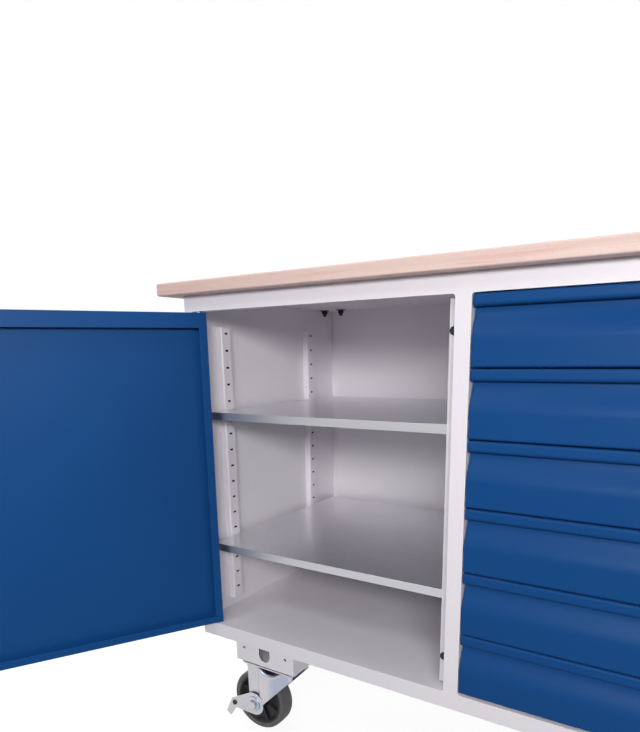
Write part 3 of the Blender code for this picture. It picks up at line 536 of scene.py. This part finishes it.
def soften(node, radius, steps=2):
    """A copy of a CAD sheet with rounded folds, standing for it."""
    work = bmesh.new()
    work.from_mesh(frame["nodes"][node].data)
    if node == "floor_panel":
        front = min(corner.co.y for corner in work.verts)
        for corner in work.verts:
            corner.co.y -= FLOOR_LAP if corner.co.y < front + FLOOR_LAP else 0
    bmesh.ops.remove_doubles(work, verts=work.verts, dist=0.00002)
    bmesh.ops.dissolve_limit(work, angle_limit=math.radians(0.6), verts=work.verts, edges=work.edges)
    sheet = make("folded_" + node, work, SLOT_OF[node], BODY_OF[node], node)
    return round_edges(sheet, radius, steps)


FOLDS = {
    "front_frame": 0.00015, "left_side_panel": 0.0005, "right_side_panel": 0.0005, "top_panel": 0.0005,
    "floor_panel": 0.0002, "back_panel": 0.0005, "centre_partition": 0.0005, "upper_shelf": 0.0004,
    "lower_shelf": 0.0004, "door_panel": 0.0004, "left_castor_carrier": 0.0006,
    "right_castor_carrier": 0.0006,
}
for wall in ("left", "centre"):
    for row in ROWS:
        FOLDS["shelf_upright_%s_%s" % (wall, row)] = 0.0001
        for shelf in ("upper", "lower"):
            FOLDS["clip_%s_%s_%s" % (shelf, wall, row)] = 0.0003
for number in range(1, 7):
    FOLDS["drawer_tray_%d" % number] = 0.0003
for hand in HANDS:
    FOLDS["runner_rack_" + hand] = 0.0003
for node, radius in FOLDS.items():
    soften(node, radius)
print("softened", len(FOLDS), "sheets")

# %% [markdown]
# ## Worktop
# The board is one solid block, sanded, with its edges eased by a few passes of a plane. It is a
# box in the frame, so the piece is that box with rounder edges, and the finish does the staves.

# %% Worktop board
def block(low, high):
    """A bmesh box between two corners."""
    work = bmesh.new()
    bmesh.ops.create_cube(work, size=1.0)
    bmesh.ops.scale(work, vec=high - low, verts=work.verts)
    bmesh.ops.translate(work, vec=(low + high) / 2, verts=work.verts)
    return work


EASED_EDGE = 0.0028
low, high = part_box("worktop")
board = make("worktop_board", block(low, high), "beech", "cabinet", "worktop")
round_edges(board, EASED_EDGE, 4)
print("worktop", size_of(low, high))

# %% [markdown]
# ## Drawer fronts
# Each front is one sheet, bent over a rounded lip, drawn back into a finger grip and swept out
# again to the lower edge. Its ends are open, so that sweep shows from the side. The
# sheet is a profile of many short steps, extruded along the front's width and given its
# thickness by Solidify.

# %% Drawer front sheets
SHEET = 0.0012
LIP_HEIGHT, LIP_NOSE, TOP_EDGE = 0.016, 0.005, 0.003
GRIP_DEPTH, GRIP_BOTTOM = 0.013, 0.037
FRONT_RETURN, FRONT_LIP, FOLD, SWEEP_STEPS = 0.017, 0.017, 0.001, 24


def arc(centre, radius, first, last, steps):
    """Points on a circle between two angles in degrees."""
    turns = [math.radians(first + (last - first) * i / steps) for i in range(steps + 1)]
    return [(centre[0] + radius * math.cos(t), centre[1] + radius * math.sin(t)) for t in turns]


def front_profile(y, bottom, top):
    """(y, z) points from the top fold over the lip and the grip to the bottom fold."""
    under = top - LIP_HEIGHT
    points = [(y + FRONT_RETURN, top - FRONT_LIP)]
    points += arc((y + FRONT_RETURN - FOLD, top - FOLD), FOLD, 0, 90, 3)
    points += arc((y + TOP_EDGE, top - TOP_EDGE), TOP_EDGE, 90, 180, 8)
    points += arc((y + LIP_NOSE, under + LIP_NOSE), LIP_NOSE, 180, 270, 10)
    low = bottom + GRIP_BOTTOM
    for i in range(SWEEP_STEPS + 1):
        swing = 0.5 + 0.5 * math.cos(math.pi * i / SWEEP_STEPS)
        points.append((y + GRIP_DEPTH * swing, under + (low - under) * i / SWEEP_STEPS))
    points += arc((y + TOP_EDGE, bottom + TOP_EDGE), TOP_EDGE, 180, 270, 8)
    points += arc((y + FRONT_RETURN - FOLD, bottom + FOLD), FOLD, 270, 360, 3)
    return points + [(y + FRONT_RETURN, bottom + FRONT_LIP)]


def bent_sheet(points, start, end):
    """A (y, z) profile extruded along X as a bmesh surface."""
    work = bmesh.new()
    ends = [[work.verts.new((x, y, z)) for y, z in points] for x in (start, end)]
    for i in range(len(points) - 1):
        work.faces.new((ends[0][i], ends[0][i + 1], ends[1][i + 1], ends[1][i]))
    return work


for number in range(1, 7):
    node = "drawer_front_%d" % number
    low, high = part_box(node)
    half = SHEET / 2
    profile = front_profile(low.y + half, low.z + half, high.z - half)
    front = make("blue_front_%d" % number, bent_sheet(profile, low.x, high.x), "front_blue",
                 "drawer_%d" % number, node)
    thickness = front.modifiers.new("sheet", "SOLIDIFY")
    thickness.thickness = SHEET
    thickness.offset = 0.0
    round_edges(front, 0.0003, 2, 60)
print("drawer fronts", size_of(low, high))

# %% [markdown]
# ## Turned parts and flat blanks
# Wheels, pins, buttons and bolts are turned: a short profile of radius against length goes round an
# axis, and a hexagon head is the same with only six steps. Plates, levers and brackets are blanks:
# a flat outline with thickness. Almost every small part below is one of the two.

# %% Turning, blanks and bolts
UP = Vector((0, 0, 1))
BACK = Vector((0, 1, 0))


def turn(work, profile, centre, axis, steps=48, closed=False):
    """Turn a (radius, along) profile about an axis through a point; radius 0 closes an end."""
    basis = axis.to_track_quat("Z", "Y").to_matrix()
    rings = []
    for radius, along in profile:
        count = steps if radius > 0 else 1
        angles = [math.tau * i / count for i in range(count)]
        points = [Vector((radius * math.cos(a), radius * math.sin(a), along)) for a in angles]
        rings.append([work.verts.new(centre + basis @ point) for point in points])
    for first, second in zip(rings, rings[1:] + rings[:1] if closed else rings[1:]):
        for i in range(steps):
            corners = (first[i % len(first)], first[(i + 1) % len(first)],
                       second[(i + 1) % len(second)], second[i % len(second)])
            work.faces.new(list(dict.fromkeys(corners)))


def blank(work, outline, start, end, place):
    """A flat outline of (u, v) points with thickness, set in space by place(u, v, level)."""
    ends = [[work.verts.new(place(u, v, level)) for u, v in outline] for level in (start, end)]
    for ring in ends:
        work.faces.new(ring)
    for i in range(len(outline)):
        work.faces.new((ends[0][i - 1], ends[0][i], ends[1][i], ends[1][i - 1]))


def rounded_rectangle(low, high, radius, steps=6):
    """Outline of a plate with rounded corners."""
    centres = ((high[0] - radius, high[1] - radius), (low[0] + radius, high[1] - radius),
               (low[0] + radius, low[1] + radius), (high[0] - radius, low[1] + radius))
    corners = [arc(centre, radius, 90 * i, 90 * i + 90, steps) for i, centre in enumerate(centres)]
    return sum(corners, [])


def bolt(work, seat, out, across, height):
    """A washer and a chamfered hexagon head on a point of a surface."""
    washer, corner, rim = 0.0013, across / math.sqrt(3), across * 0.95
    turn(work, [(0, 0), (rim, 0), (rim, washer * 0.7), (rim * 0.96, washer), (0, washer)], seat, out, 28)
    top = washer + height
    turn(work, [(0, washer / 2), (corner, washer / 2), (corner, top - 0.1 * across),
                (0.87 * corner, top), (0, top)], seat, out, 6)


def flat(u, v, level):
    """Places an outline that lies level."""
    return Vector((u, v, level))


def upright(u, v, level):
    """Places an outline that faces the front."""
    return Vector((u, level, v))


print("turning and blanks ready")

# %% [markdown]
# ## Painted shade inside the uprights
# The uprights are narrow channels, and in the photograph their slots look black. Light that
# bounces about in a grey channel would make them pale. A thin dark sheet on the channel's back
# and sides is painted shade that makes the slots look black. It ends short of the slotted face,
# so the clips that hook in through the slots stay clear of it.

# %% Painted shade inside the uprights
PAINTED_SHADE, PAINTED_SHADE_CLEAR, UPRIGHT_SHEET, HOOK_ROOM = 0.0003, 0.0002, 0.0012, 0.0045
for wall, out in (("left", 1), ("centre", -1)):
    for row in ROWS:
        low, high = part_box("shelf_upright_%s_%s" % (wall, row))
        back = (low.x if out > 0 else high.x) + out * PAINTED_SHADE_CLEAR
        edge = (high.x if out > 0 else low.x) - out * HOOK_ROOM
        near, far = low.y + UPRIGHT_SHEET + PAINTED_SHADE_CLEAR, high.y - UPRIGHT_SHEET - PAINTED_SHADE_CLEAR
        inner = back + out * PAINTED_SHADE
        channel = [(edge, near), (back, near), (back, far), (edge, far), (edge, far - PAINTED_SHADE),
                   (inner, far - PAINTED_SHADE), (inner, near + PAINTED_SHADE), (edge, near + PAINTED_SHADE)]
        work = bmesh.new()
        blank(work, channel, low.z + PAINTED_SHADE_CLEAR, high.z - PAINTED_SHADE_CLEAR, flat)
        # A dark sheet of painted shade inside each upright's channel.
        make("upright_inside_%s_%s" % (wall, row), work, "black_rim", "cabinet", sharp=30)
print("uprights lined", PAINTED_SHADE, "m thick")

# %% [markdown]
# ## Castor plates
# A swivel castor hangs on a rounded plate by a double ball race, which shows as two stepped rings.
# Four bolts hold the plate to the channel under the cabinet. The fixed castors use the same plate
# without the race.

# %% Castor plates
PLATE_THICKNESS, PLATE_CORNER, PAD_RISE, PAD_INSET = 0.0072, 0.009, 0.0046, 0.005
BOLT_INSET, BOLT_ACROSS, NUT_HEIGHT, HEAD_HEIGHT = 0.0115, 0.012, 0.0032, 0.006
CARRIER_SHEET = 0.002


def castor_plate(work, low, high, carrier_floor):
    """A rounded plate with four bolts, their nuts below it and their heads in the channel."""
    under = high.z - PLATE_THICKNESS
    inset = Vector((PAD_INSET, PAD_INSET, 0))
    blank(work, rounded_rectangle(low, high, PLATE_CORNER), under, high.z - PAD_RISE, flat)
    pad = rounded_rectangle(low + inset, high - inset, PLATE_CORNER - PAD_INSET / 2)
    blank(work, pad, high.z - 1.2 * PAD_RISE, high.z, flat)
    for x in (low.x + BOLT_INSET, high.x - BOLT_INSET):
        for y in (low.y + BOLT_INSET, high.y - BOLT_INSET):
            bolt(work, Vector((x, y, under)), -UP, BOLT_ACROSS, NUT_HEIGHT)
            bolt(work, Vector((x, y, carrier_floor)), UP, BOLT_ACROSS, HEAD_HEIGHT)
    return under


channel_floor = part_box("left_castor_carrier")[0].z + CARRIER_SHEET
for row in ROWS:
    low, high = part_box(row + "_swivel_plate")
    middle = Vector(((low.x + high.x) / 2, (low.y + high.y) / 2, 0))
    work = bmesh.new()
    under = castor_plate(work, low, high, channel_floor)
    make(row + "_castor_plate", work, "zinc_plate", "cabinet", row + "_swivel_plate", sharp=32)
    z = low.z
    race = [(0, z), (0.016, z), (0.0205, z + 0.0008), (0.0220, z + 0.0022), (0.0220, z + 0.0034),
            (0.0205, z + 0.0038), (0.0205, z + 0.0044), (0.0240, z + 0.0048), (0.0250, z + 0.0058),
            (0.0250, under + 0.0005), (0, under + 0.0005)]
    work = bmesh.new()
    turn(work, race, middle, UP, 64)
    make(row + "_race_seal", work, "black_rubber", "cabinet", sharp=32)
print("castor plates", size_of(low, high))

# %% [markdown]
# ## Forks
# A castor fork is pressed from one 3 mm sheet: a saddle-shaped crown under the race, bent down on
# both sides into legs that taper to the axle. Its shape is two things at once, a curved shell
# seen from the end and a flat outline seen from the side. So the shell is lofted along
# the castor, and a Boolean keeps what lies inside the side outline.

# %% Fork shells
FORK_SHEET, FORK_BEND, LEG_END = 0.003, 0.007, 0.014
FORK_ROUND, CUT_SPARE, CUT_HALF, BELOW_AXLE = 0.0006, 0.002, 0.06, 0.02


def shell_section(half, top, bend, foot):
    """(y, z) points over a fork from one leg's foot to the other's."""
    left = arc((bend - half, top - bend), bend, 180, 90, 6)
    right = arc((half - bend, top - bend), bend, 90, 0, 6)
    return [(-half, foot)] + left + right + [(half, foot)]


def fork_shell(middle, left, right, foot, half_at, top_at, stations=56):
    """The U-shaped shell of a fork, with its half width and its crown given along its length."""
    work = bmesh.new()
    rings = []
    for i in range(stations + 1):
        x = left + (right - left) * i / stations
        half, top = half_at(x), top_at(x)
        outer = shell_section(half, top, FORK_BEND, foot)
        inner = shell_section(half - FORK_SHEET, top - FORK_SHEET, FORK_BEND - FORK_SHEET, foot)
        rings.append([work.verts.new((middle.x + x, middle.y + y, z)) for y, z in outer + inner[::-1]])
    count = len(rings[0])
    for first, second in zip(rings, rings[1:]):
        for i in range(count):
            work.faces.new((first[i - 1], first[i], second[i], second[i - 1]))
    for ring in (rings[0], rings[-1]):
        for i in range(count // 2 - 1):
            work.faces.new((ring[i], ring[i + 1], ring[count - 2 - i], ring[count - 1 - i]))
    return work


def leg_side(axle_x, axle_z, left, right, top, shoulder):
    """Side outline of a fork: a wide head drawn in to a round end at the axle."""
    def tangent(corner_x, side):
        across, up = corner_x - axle_x, shoulder - axle_z
        lean = math.degrees(math.acos(LEG_END / math.hypot(across, up)))
        return math.degrees(math.atan2(up, across)) + side * lean
    end = arc((axle_x, axle_z), LEG_END, tangent(left, 1), 360 + tangent(right, -1), 20)
    return end + [(right, shoulder), (right, top), (left, top), (left, shoulder)]


def keep_inside(work, outline, start, end):
    """What of a bmesh lies inside an outline that faces the front, as a mesh."""
    cutter_work = bmesh.new()
    blank(cutter_work, outline, start, end, upright)
    holder = bpy.data.objects.new("fork_shell", to_mesh(work, "fork_shell"))
    cutter = bpy.data.objects.new("fork_outline", to_mesh(cutter_work, "fork_outline"))
    for helper in (holder, cutter):
        scene.collection.objects.link(helper)
    common = holder.modifiers.new("common", "BOOLEAN")
    common.operation = "INTERSECT"
    common.solver = "EXACT"
    common.object = cutter
    kept = bpy.data.meshes.new_from_object(holder.evaluated_get(bpy.context.evaluated_depsgraph_get()))
    for helper in (holder, cutter):
        bpy.data.objects.remove(helper)
    return kept


print("fork helpers ready")

# %% [markdown]
# ## Swivel and fixed forks
# The swivel fork's crown dips in the middle, around the king pin, and the leg bulges out beside a flat
# strip at its back edge. That strip and the bulge are what the photograph shows most clearly of the
# castor. The fixed fork is straight and welded under its plate.

# %% Swivel and fixed forks
CROWN_RISE, CROWN_DIP, DIP_MIDDLE, DIP_REACH = 0.0035, 0.0080, 0.0, 0.029
STRIP_END, BULGE, BULGE_REACH = -0.029, 0.006, 0.075
EYE_OUT, AXLE_HEAD, AXLE_RADIUS = 0.0052, 0.004, 0.0058
AXLE_NUT_ACROSS, AXLE_NUT_HEIGHT = 0.017, 0.0068


def axle_of(wheel):
    """The middle of a wheel, from its tyre."""
    low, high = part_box(wheel + "_tyre")
    return (low + high) / 2


def swell(x):
    """How far a leg bulges out: steeply from the crease beside its flat back strip, then less."""
    share = min(max((x - STRIP_END) / BULGE_REACH, 0.0), 1.0)
    return BULGE * math.sin(math.pi * share ** 0.6)


def dip(x):
    """How far the crown sinks around the king pin."""
    return (CROWN_RISE + CROWN_DIP) * max(0.0, 1 - ((x - DIP_MIDDLE) / DIP_REACH) ** 2)


def axle_ends(work, axle, reach):
    """A washer and a nut on both ends of an axle, and the axle between them."""
    rod = [(0, -reach), (AXLE_RADIUS, -reach), (AXLE_RADIUS, reach), (0, reach)]
    turn(work, rod, axle, BACK, 24)
    for side in (-1, 1):
        bolt(work, axle + BACK * side * reach, BACK * side, AXLE_NUT_ACROSS, AXLE_NUT_HEIGHT)


for row in ROWS:
    node = row + "_swivel_fork"
    low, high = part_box(node)
    plate_low, plate_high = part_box(row + "_swivel_plate")
    middle = (plate_low + plate_high) / 2
    axle = axle_of(row + "_left")
    left, right = low.x - middle.x, high.x - middle.x
    fork_half = (high.y - low.y) / 2 - AXLE_HEAD
    crown_top = high.z
    work = fork_shell(middle, left - CUT_SPARE, right + CUT_SPARE, axle.z - BELOW_AXLE,
                      lambda x: fork_half + swell(x),
                      lambda x: crown_top + CROWN_RISE - dip(x))
    side = leg_side(axle.x, axle.z, low.x, high.x, crown_top + 0.01, crown_top - 0.006)
    mesh = keep_inside(work, side, middle.y - CUT_HALF, middle.y + CUT_HALF)
    fork = make(row + "_pressed_fork", mesh, "zinc_plate", node, node)
    round_edges(fork, FORK_ROUND, 2, 40)
    work = bmesh.new()
    axle_ends(work, axle, fork_half + EYE_OUT)
    make(row + "_swivel_axle", work, "zinc_plate", node, sharp=32)
print("swivel forks", size_of(low, high))

# %% Fixed forks
FIXED_HEAD = 0.045
for row in ROWS:
    node = row + "_fixed_fork"
    low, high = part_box(node)
    axle = axle_of(row + "_right")
    middle = (low + high) / 2
    work = bmesh.new()
    under = castor_plate(work, Vector((low.x, low.y, 0)), high, channel_floor)
    axle_ends(work, axle, fork_half + 0.0004)
    make(row + "_fixed_plate", work, "zinc_plate", "cabinet", sharp=32)
    work = fork_shell(middle, -FIXED_HEAD - CUT_SPARE, FIXED_HEAD + CUT_SPARE, axle.z - BELOW_AXLE,
                      lambda x: fork_half, lambda x: under + 0.0005, 8)
    side = leg_side(axle.x, axle.z, axle.x - FIXED_HEAD, axle.x + FIXED_HEAD, under + 0.01,
                    under - 0.01)
    mesh = keep_inside(work, side, middle.y - CUT_HALF, middle.y + CUT_HALF)
    fork = make(row + "_straight_fork", mesh, "zinc_plate", "cabinet", node)
    round_edges(fork, FORK_ROUND, 2, 40)
print("fixed forks", size_of(low, high))

# %% [markdown]
# ## Wheels
# Each wheel is a grey rubber tyre on a black moulded rim. The tyre's tread is slightly crowned, its
# shoulders are round, and its sides sink a little towards the rim. The rim has a web in
# its middle with ribs between hub and seat, as a moulding needs. The profiles are
# turned about the axle and the ribs set round it.

# %% Wheels
RIBS, RIB_HALF, RIB_CORNER = 8, 0.0016, 0.0008
SHOULDER, CROWN = 0.005, 0.0005


def tyre_profile(radius, half, seat):
    """Closed (radius, along) outline of a tyre with a crowned tread and round shoulders."""
    tread = [(radius - CROWN * (t / 4) ** 2, (half - SHOULDER) * t / 4) for t in range(-4, 5)]
    right = [(radius - CROWN - SHOULDER + p, half - SHOULDER + q)
             for q, p in arc((0, 0), SHOULDER, 90, 0, 8)][1:]
    wall = [(seat + 0.0032, half - 0.0006), (seat + 0.0016, half - 0.0016), (seat, half - 0.0024)]
    side = right + wall
    return [(r, -a) for r, a in side[::-1]] + tread + side


def rim_profile(seat, half, hub_reach):
    """Closed (radius, along) outline of a rim: seat, lip, dished web and hub."""
    side = [(seat, half - 0.0028), (seat - 0.0006, half - 0.0016), (seat - 0.0036, half - 0.0018),
            (seat - 0.0056, half - 0.0060), (seat - 0.0076, 0.0085), (seat - 0.0100, 0.0075),
            (0.0220, 0.0075), (0.0195, 0.0090), (0.0180, hub_reach - 0.001), (0.0170, hub_reach),
            (0.0062, hub_reach)]
    return side + [(r, -a) for r, a in side[::-1]]


def ribs(work, axle, inner, outer, low, high):
    """Short radial walls on both faces of a rim's web."""
    for i in range(RIBS):
        angle = math.tau * (i + 0.5) / RIBS
        along = Vector((math.cos(angle), 0, math.sin(angle)))
        across = Vector((-math.sin(angle), 0, math.cos(angle)))
        outline = rounded_rectangle((inner, -RIB_HALF), (outer, RIB_HALF), RIB_CORNER, 3)
        for side in (-1, 1):
            blank(work, outline, low * side, high * side,
                  lambda u, v, level: axle + along * u + across * v + BACK * level)


for row in ROWS:
    for hand in HANDS:
        name = "%s_%s" % (row, hand)
        low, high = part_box(name + "_tyre")
        axle = (low + high) / 2
        rim_low, rim_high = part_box(name + "_rim")
        seat, tyre_half = (rim_high.z - rim_low.z) / 2, (high.y - low.y) / 2
        work = bmesh.new()
        turn(work, tyre_profile((high.z - low.z) / 2, tyre_half, seat), axle, BACK, 96, True)
        make(name + "_rubber", work, "grey_tyre", name + "_wheel", name + "_tyre", sharp=50)
        work = bmesh.new()
        turn(work, rim_profile(seat, tyre_half, (rim_high.y - rim_low.y) / 2), axle, BACK, 96, True)
        ribs(work, axle, 0.0172, seat - 0.0062, 0.0070, 0.0125)
        make(name + "_moulding", work, "black_rim", name + "_wheel", name + "_rim", sharp=35)
print("wheels of", round(high.z - low.z, 4), "m, rims of", round(2 * seat, 4))

# %% [markdown]
# ## Brake pedals
# The brake lever turns on the axle: two arms with a large round eye and a dark pivot pin, beyond which
# they bend down to a foot, with a pad between the arms behind the wheel. The pad has raised
# ribs for the boot. At rest the pedal is pressed down, so the arms slope.

# %% Brake pedals
DROOP = math.radians(14)
ARM_SHEET, EYE_RADIUS, PIN_REACH, PIN_END = 0.0025, 0.024, 0.0526, 0.0105
FOOT_BEND, FOOT_LENGTH, FOOT_HALF = 45, 0.036, 0.0065
PAD_DEPTH, ARM_CLEAR = 0.022, 0.002


def on_foot(along, above):
    """A point on the arm's foot, which bends down beyond the pin, before it is tilted."""
    bend = math.radians(FOOT_BEND)
    return (-PIN_REACH - along * math.cos(bend) - above * math.sin(bend),
            above * math.cos(bend) - along * math.sin(bend))


def pedal_side():
    """Side outline of an arm from its eye round the pin to its foot, before it is tilted."""
    lean = math.degrees(math.asin((EYE_RADIUS - PIN_END) / PIN_REACH))
    eye = arc((0, 0), EYE_RADIUS, -90 - lean, 90 + lean, 24)
    end = arc((-PIN_REACH, 0), PIN_END, 90 + lean, 90 + FOOT_BEND, 6)
    return eye + end + [on_foot(FOOT_LENGTH, FOOT_HALF), on_foot(FOOT_LENGTH, -FOOT_HALF),
                        on_foot(0.008, -0.008)]


def tilted(axle):
    """Places an upright outline about an axle, tilted as the pressed pedal is."""
    def place(u, v, level):
        return axle + Vector((u * math.cos(DROOP) - v * math.sin(DROOP), level,
                              u * math.sin(DROOP) + v * math.cos(DROOP)))
    return place


for row in ROWS:
    node = row + "_brake_pedal"
    low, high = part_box(node)
    axle = axle_of(row + "_left")
    place = tilted(axle)
    outside = (high.y - low.y) / 2 + ARM_CLEAR
    work = bmesh.new()
    for side in (-1, 1):
        blank(work, pedal_side(), side * (outside - ARM_SHEET), side * outside, place)
    tip = FOOT_LENGTH - 0.0015
    pad = rounded_rectangle((tip - PAD_DEPTH, 0.0018), (tip, 0.0056), 0.0015, 4)
    blank(work, [on_foot(*corner) for corner in pad], -outside + ARM_SHEET / 2,
          outside - ARM_SHEET / 2, place)
    for i in range(5):
        start = tip - PAD_DEPTH + 0.0015 + 0.0045 * i
        rib = rounded_rectangle((start, 0.0045), (start + 0.002, 0.0068), 0.0008, 3)
        blank(work, [on_foot(*corner) for corner in rib], 0.004 - outside, outside - 0.004, place)
    lever = make(row + "_brake_lever", work, "zinc_plate", node, node)
    round_edges(lever, 0.0005, 2, 50)
    work = bmesh.new()
    for side in (-1, 1):
        profile = [(0, -0.001), (0.0052, -0.001), (0.0052, 0.0016), (0.0044, 0.0024), (0, 0.0024)]
        turn(work, profile, place(-PIN_REACH, 0, side * outside), BACK * side, 28)
    make(row + "_brake_pin", work, "black_rim", node, sharp=35)
print("brake pedals", size_of(low, high))

# %% [markdown]
# ## Hinge pins, bumpers and lock
# The door turns on two short pins with a collar, shuts against two rubber buttons on the frame's inner
# strip, and is held by a turning handle. The handle has a round rose, a grip that swells in
# the middle, a lock cylinder with a keyway, and behind the door a flat cam that swings behind the
# strip. The lock's axis comes from its joint, since the door stands open.

# %% Hinge pins and bumpers
PIN_CHAMFER, BUMPER_EDGE = 0.0008, 0.0012
for name in ("upper_hinge_pin", "lower_hinge_pin"):
    low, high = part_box(name)
    middle, long = (low + high) / 2, (high.z - low.z) / 2
    radius = (high.x - low.x) / 2
    work = bmesh.new()
    turn(work, [(0, -long), (radius - PIN_CHAMFER, -long), (radius, PIN_CHAMFER - long),
                (radius, long - PIN_CHAMFER), (radius - PIN_CHAMFER, long), (0, long)], middle, UP, 32)
    make("turned_" + name, work, "zinc_plate", "door", name, sharp=32)
for name in ("upper_bumper", "lower_bumper"):
    low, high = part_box(name)
    middle, deep = (low + high) / 2, (high.y - low.y) / 2
    radius = (high.z - low.z) / 2
    dome = [(radius - BUMPER_EDGE + BUMPER_EDGE * math.cos(a),
             deep - BUMPER_EDGE + BUMPER_EDGE * math.sin(a)) for a in (0.0, 0.4, 0.8, 1.2, 1.57)]
    button = [(0, -deep), (radius, -deep)] + dome + [(0.002, deep), (0, deep - 0.0003)]
    work = bmesh.new()
    turn(work, button, middle, -BACK, 36)
    make("rubber_" + name, work, "black_rubber", "cabinet", name, sharp=40)
print("pins and bumpers turned")

# %% Door lock
ROSE_RADIUS, ROSE_THICKNESS = 0.017, 0.003
GRIP_LENGTH, GRIP_WIDTH, GRIP_OUT, GRIP_STEPS = 0.062, 0.014, 0.0175, 32
CAM_LENGTH, CAM_WIDTH, CAM_THICKNESS, BARREL_RADIUS = 0.036, 0.016, 0.002, 0.0085
lock_joint = next(j for j in frame["record"]["behaviour"]["joints"] if j["name"] == "door_lock_turn")
lock_at, inward = Vector(lock_joint["pos_m"]), Vector(lock_joint["axis"]).normalized()
outward, sideways = -inward, UP.cross(inward)


def on_door(u, v, level):
    """Places an outline on the door's outer face: u across, v up, level outward."""
    return lock_at + sideways * u + UP * v + outward * level


def grip_ring(v):
    """Outline of the grip across its length at a height v: wide in the middle, round at the ends."""
    reach = GRIP_LENGTH / 2
    share = abs(v) / reach
    taper = math.sqrt(max(1 - share ** 6, 0.0))
    half = GRIP_WIDTH / 2 * (0.78 + 0.22 * math.cos(math.pi * share)) * taper + 0.0004
    out = ROSE_THICKNESS + (GRIP_OUT - ROSE_THICKNESS) * (0.35 + 0.65 * taper)
    foot = ROSE_THICKNESS * (0.5 + 0.6 * share)
    return rounded_rectangle((-half, foot), (half, out), min(half * 0.8, 0.0045), 5)


work = bmesh.new()
rings = []
for i in range(GRIP_STEPS + 1):
    v = -math.cos(math.pi * i / GRIP_STEPS) * GRIP_LENGTH / 2
    rings.append([work.verts.new(on_door(u, v, level)) for u, level in grip_ring(v)])
for first, second in zip(rings, rings[1:]):
    for i in range(len(first)):
        work.faces.new((first[i - 1], first[i], second[i], second[i - 1]))
work.faces.new(rings[0])
work.faces.new(rings[-1])
rose = [(0, 0.0003), (ROSE_RADIUS, 0.0003), (ROSE_RADIUS, 0.0018),
        (ROSE_RADIUS - 0.0014, ROSE_THICKNESS), (0, ROSE_THICKNESS + 0.0004)]
cylinder = [(0, GRIP_OUT - 0.002), (0.0056, GRIP_OUT - 0.002), (0.0056, GRIP_OUT + 0.0003),
            (0.0050, GRIP_OUT + 0.0008), (0, GRIP_OUT + 0.0008)]
turn(work, rose, lock_at, outward, 56)
turn(work, cylinder, lock_at, outward, 40)
reach_in = max(inward.dot(vertex.co - lock_at) for vertex in frame["nodes"]["door_lock"].data.vertices)
turn(work, [(0, 0), (BARREL_RADIUS, 0), (BARREL_RADIUS, reach_in - CAM_THICKNESS),
            (0, reach_in - CAM_THICKNESS)], lock_at, inward, 40)
bolt(work, lock_at + inward * (reach_in - 0.001), inward, 0.010, 0.0)
half = CAM_WIDTH / 2
cam = arc((0, 0), half, 180, 360, 12) + [(half * 0.8, CAM_LENGTH - 0.002), (half * 0.6, CAM_LENGTH),
                                         (-half * 0.6, CAM_LENGTH), (-half * 0.8, CAM_LENGTH - 0.002)]
blank(work, cam, CAM_THICKNESS - reach_in, -reach_in, on_door)
make("turning_handle", work, "zinc_plate", "door_lock", "door_lock", sharp=38)
work = bmesh.new()
blank(work, rounded_rectangle((-0.0006, -0.0034), (0.0006, 0.0034), 0.0005, 3), GRIP_OUT,
      GRIP_OUT + 0.0009, on_door)
make("lock_keyway", work, "black_rim", "door_lock", sharp=40)
print("lock at", [round(c, 4) for c in lock_at])

# %% [markdown]
# ## Corner brackets
# In the upper rear corner of the cupboard the photograph shows a three-cornered plate on the side
# wall and two bolts under the ceiling: a folded bracket that ties the body to the worktop. The
# drawer bay has the same, out of sight. Each is two blanks at right angles with two bolts through
# the level one.

# %% Corner brackets
BRACKET_SHEET, BRACKET_DROP, BRACKET_REACH = 0.002, 0.077, 0.075
WALL_SHEET, BACK_GAP, STUD_RADIUS = 0.0015, 0.001, 0.004
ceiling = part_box("top_panel")[0].z
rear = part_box("back_panel")[0].y
WALLS = {"left": (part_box("left_side_panel")[0].x + WALL_SHEET, 1),
         "right": (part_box("right_side_panel")[1].x - WALL_SHEET, -1)}
for hand, (wall, into) in WALLS.items():
    work = bmesh.new()
    triangle = [(rear - BACK_GAP, ceiling - BRACKET_DROP), (rear - BACK_GAP, ceiling),
                (rear - BRACKET_REACH, ceiling), (rear - BRACKET_REACH, ceiling - 0.004)]
    blank(work, triangle, 0.0, BRACKET_SHEET,
          lambda u, v, level: Vector((wall + into * level, u, v)))
    shelf = [(0.0, rear - BACK_GAP), (BRACKET_REACH, rear - BACK_GAP), (BRACKET_REACH, rear - 0.062),
             (0.063, rear - BRACKET_REACH), (0.0, rear - BRACKET_REACH)]
    blank(work, shelf, ceiling - BRACKET_SHEET, ceiling,
          lambda u, v, level: Vector((wall + into * u, v, level)))
    bracket = make("corner_bracket_" + hand, work, "cabinet_grey", "cabinet")
    round_edges(bracket, 0.0005, 2, 40)
    work = bmesh.new()
    for across in (0.013, 0.059):
        seat = Vector((wall + into * across, rear - 0.052, ceiling - BRACKET_SHEET))
        bolt(work, seat, -UP, 0.013, 0.0075)
        stud = [(0, 0), (STUD_RADIUS, 0), (STUD_RADIUS, 0.0135), (0.0034, 0.0142), (0, 0.0142)]
        turn(work, stud, seat, -UP, 20)
    make("bracket_bolts_" + hand, work, "black_rim", "cabinet", sharp=32)
print("corner brackets at", round(ceiling, 4))

# %% Finish the frame's other nodes
for node, solid in frame["nodes"].items():
    solid.data.materials.clear()
    solid.data.materials.append(FINISHES[SLOT_OF[node]])
print("plain nodes finished")
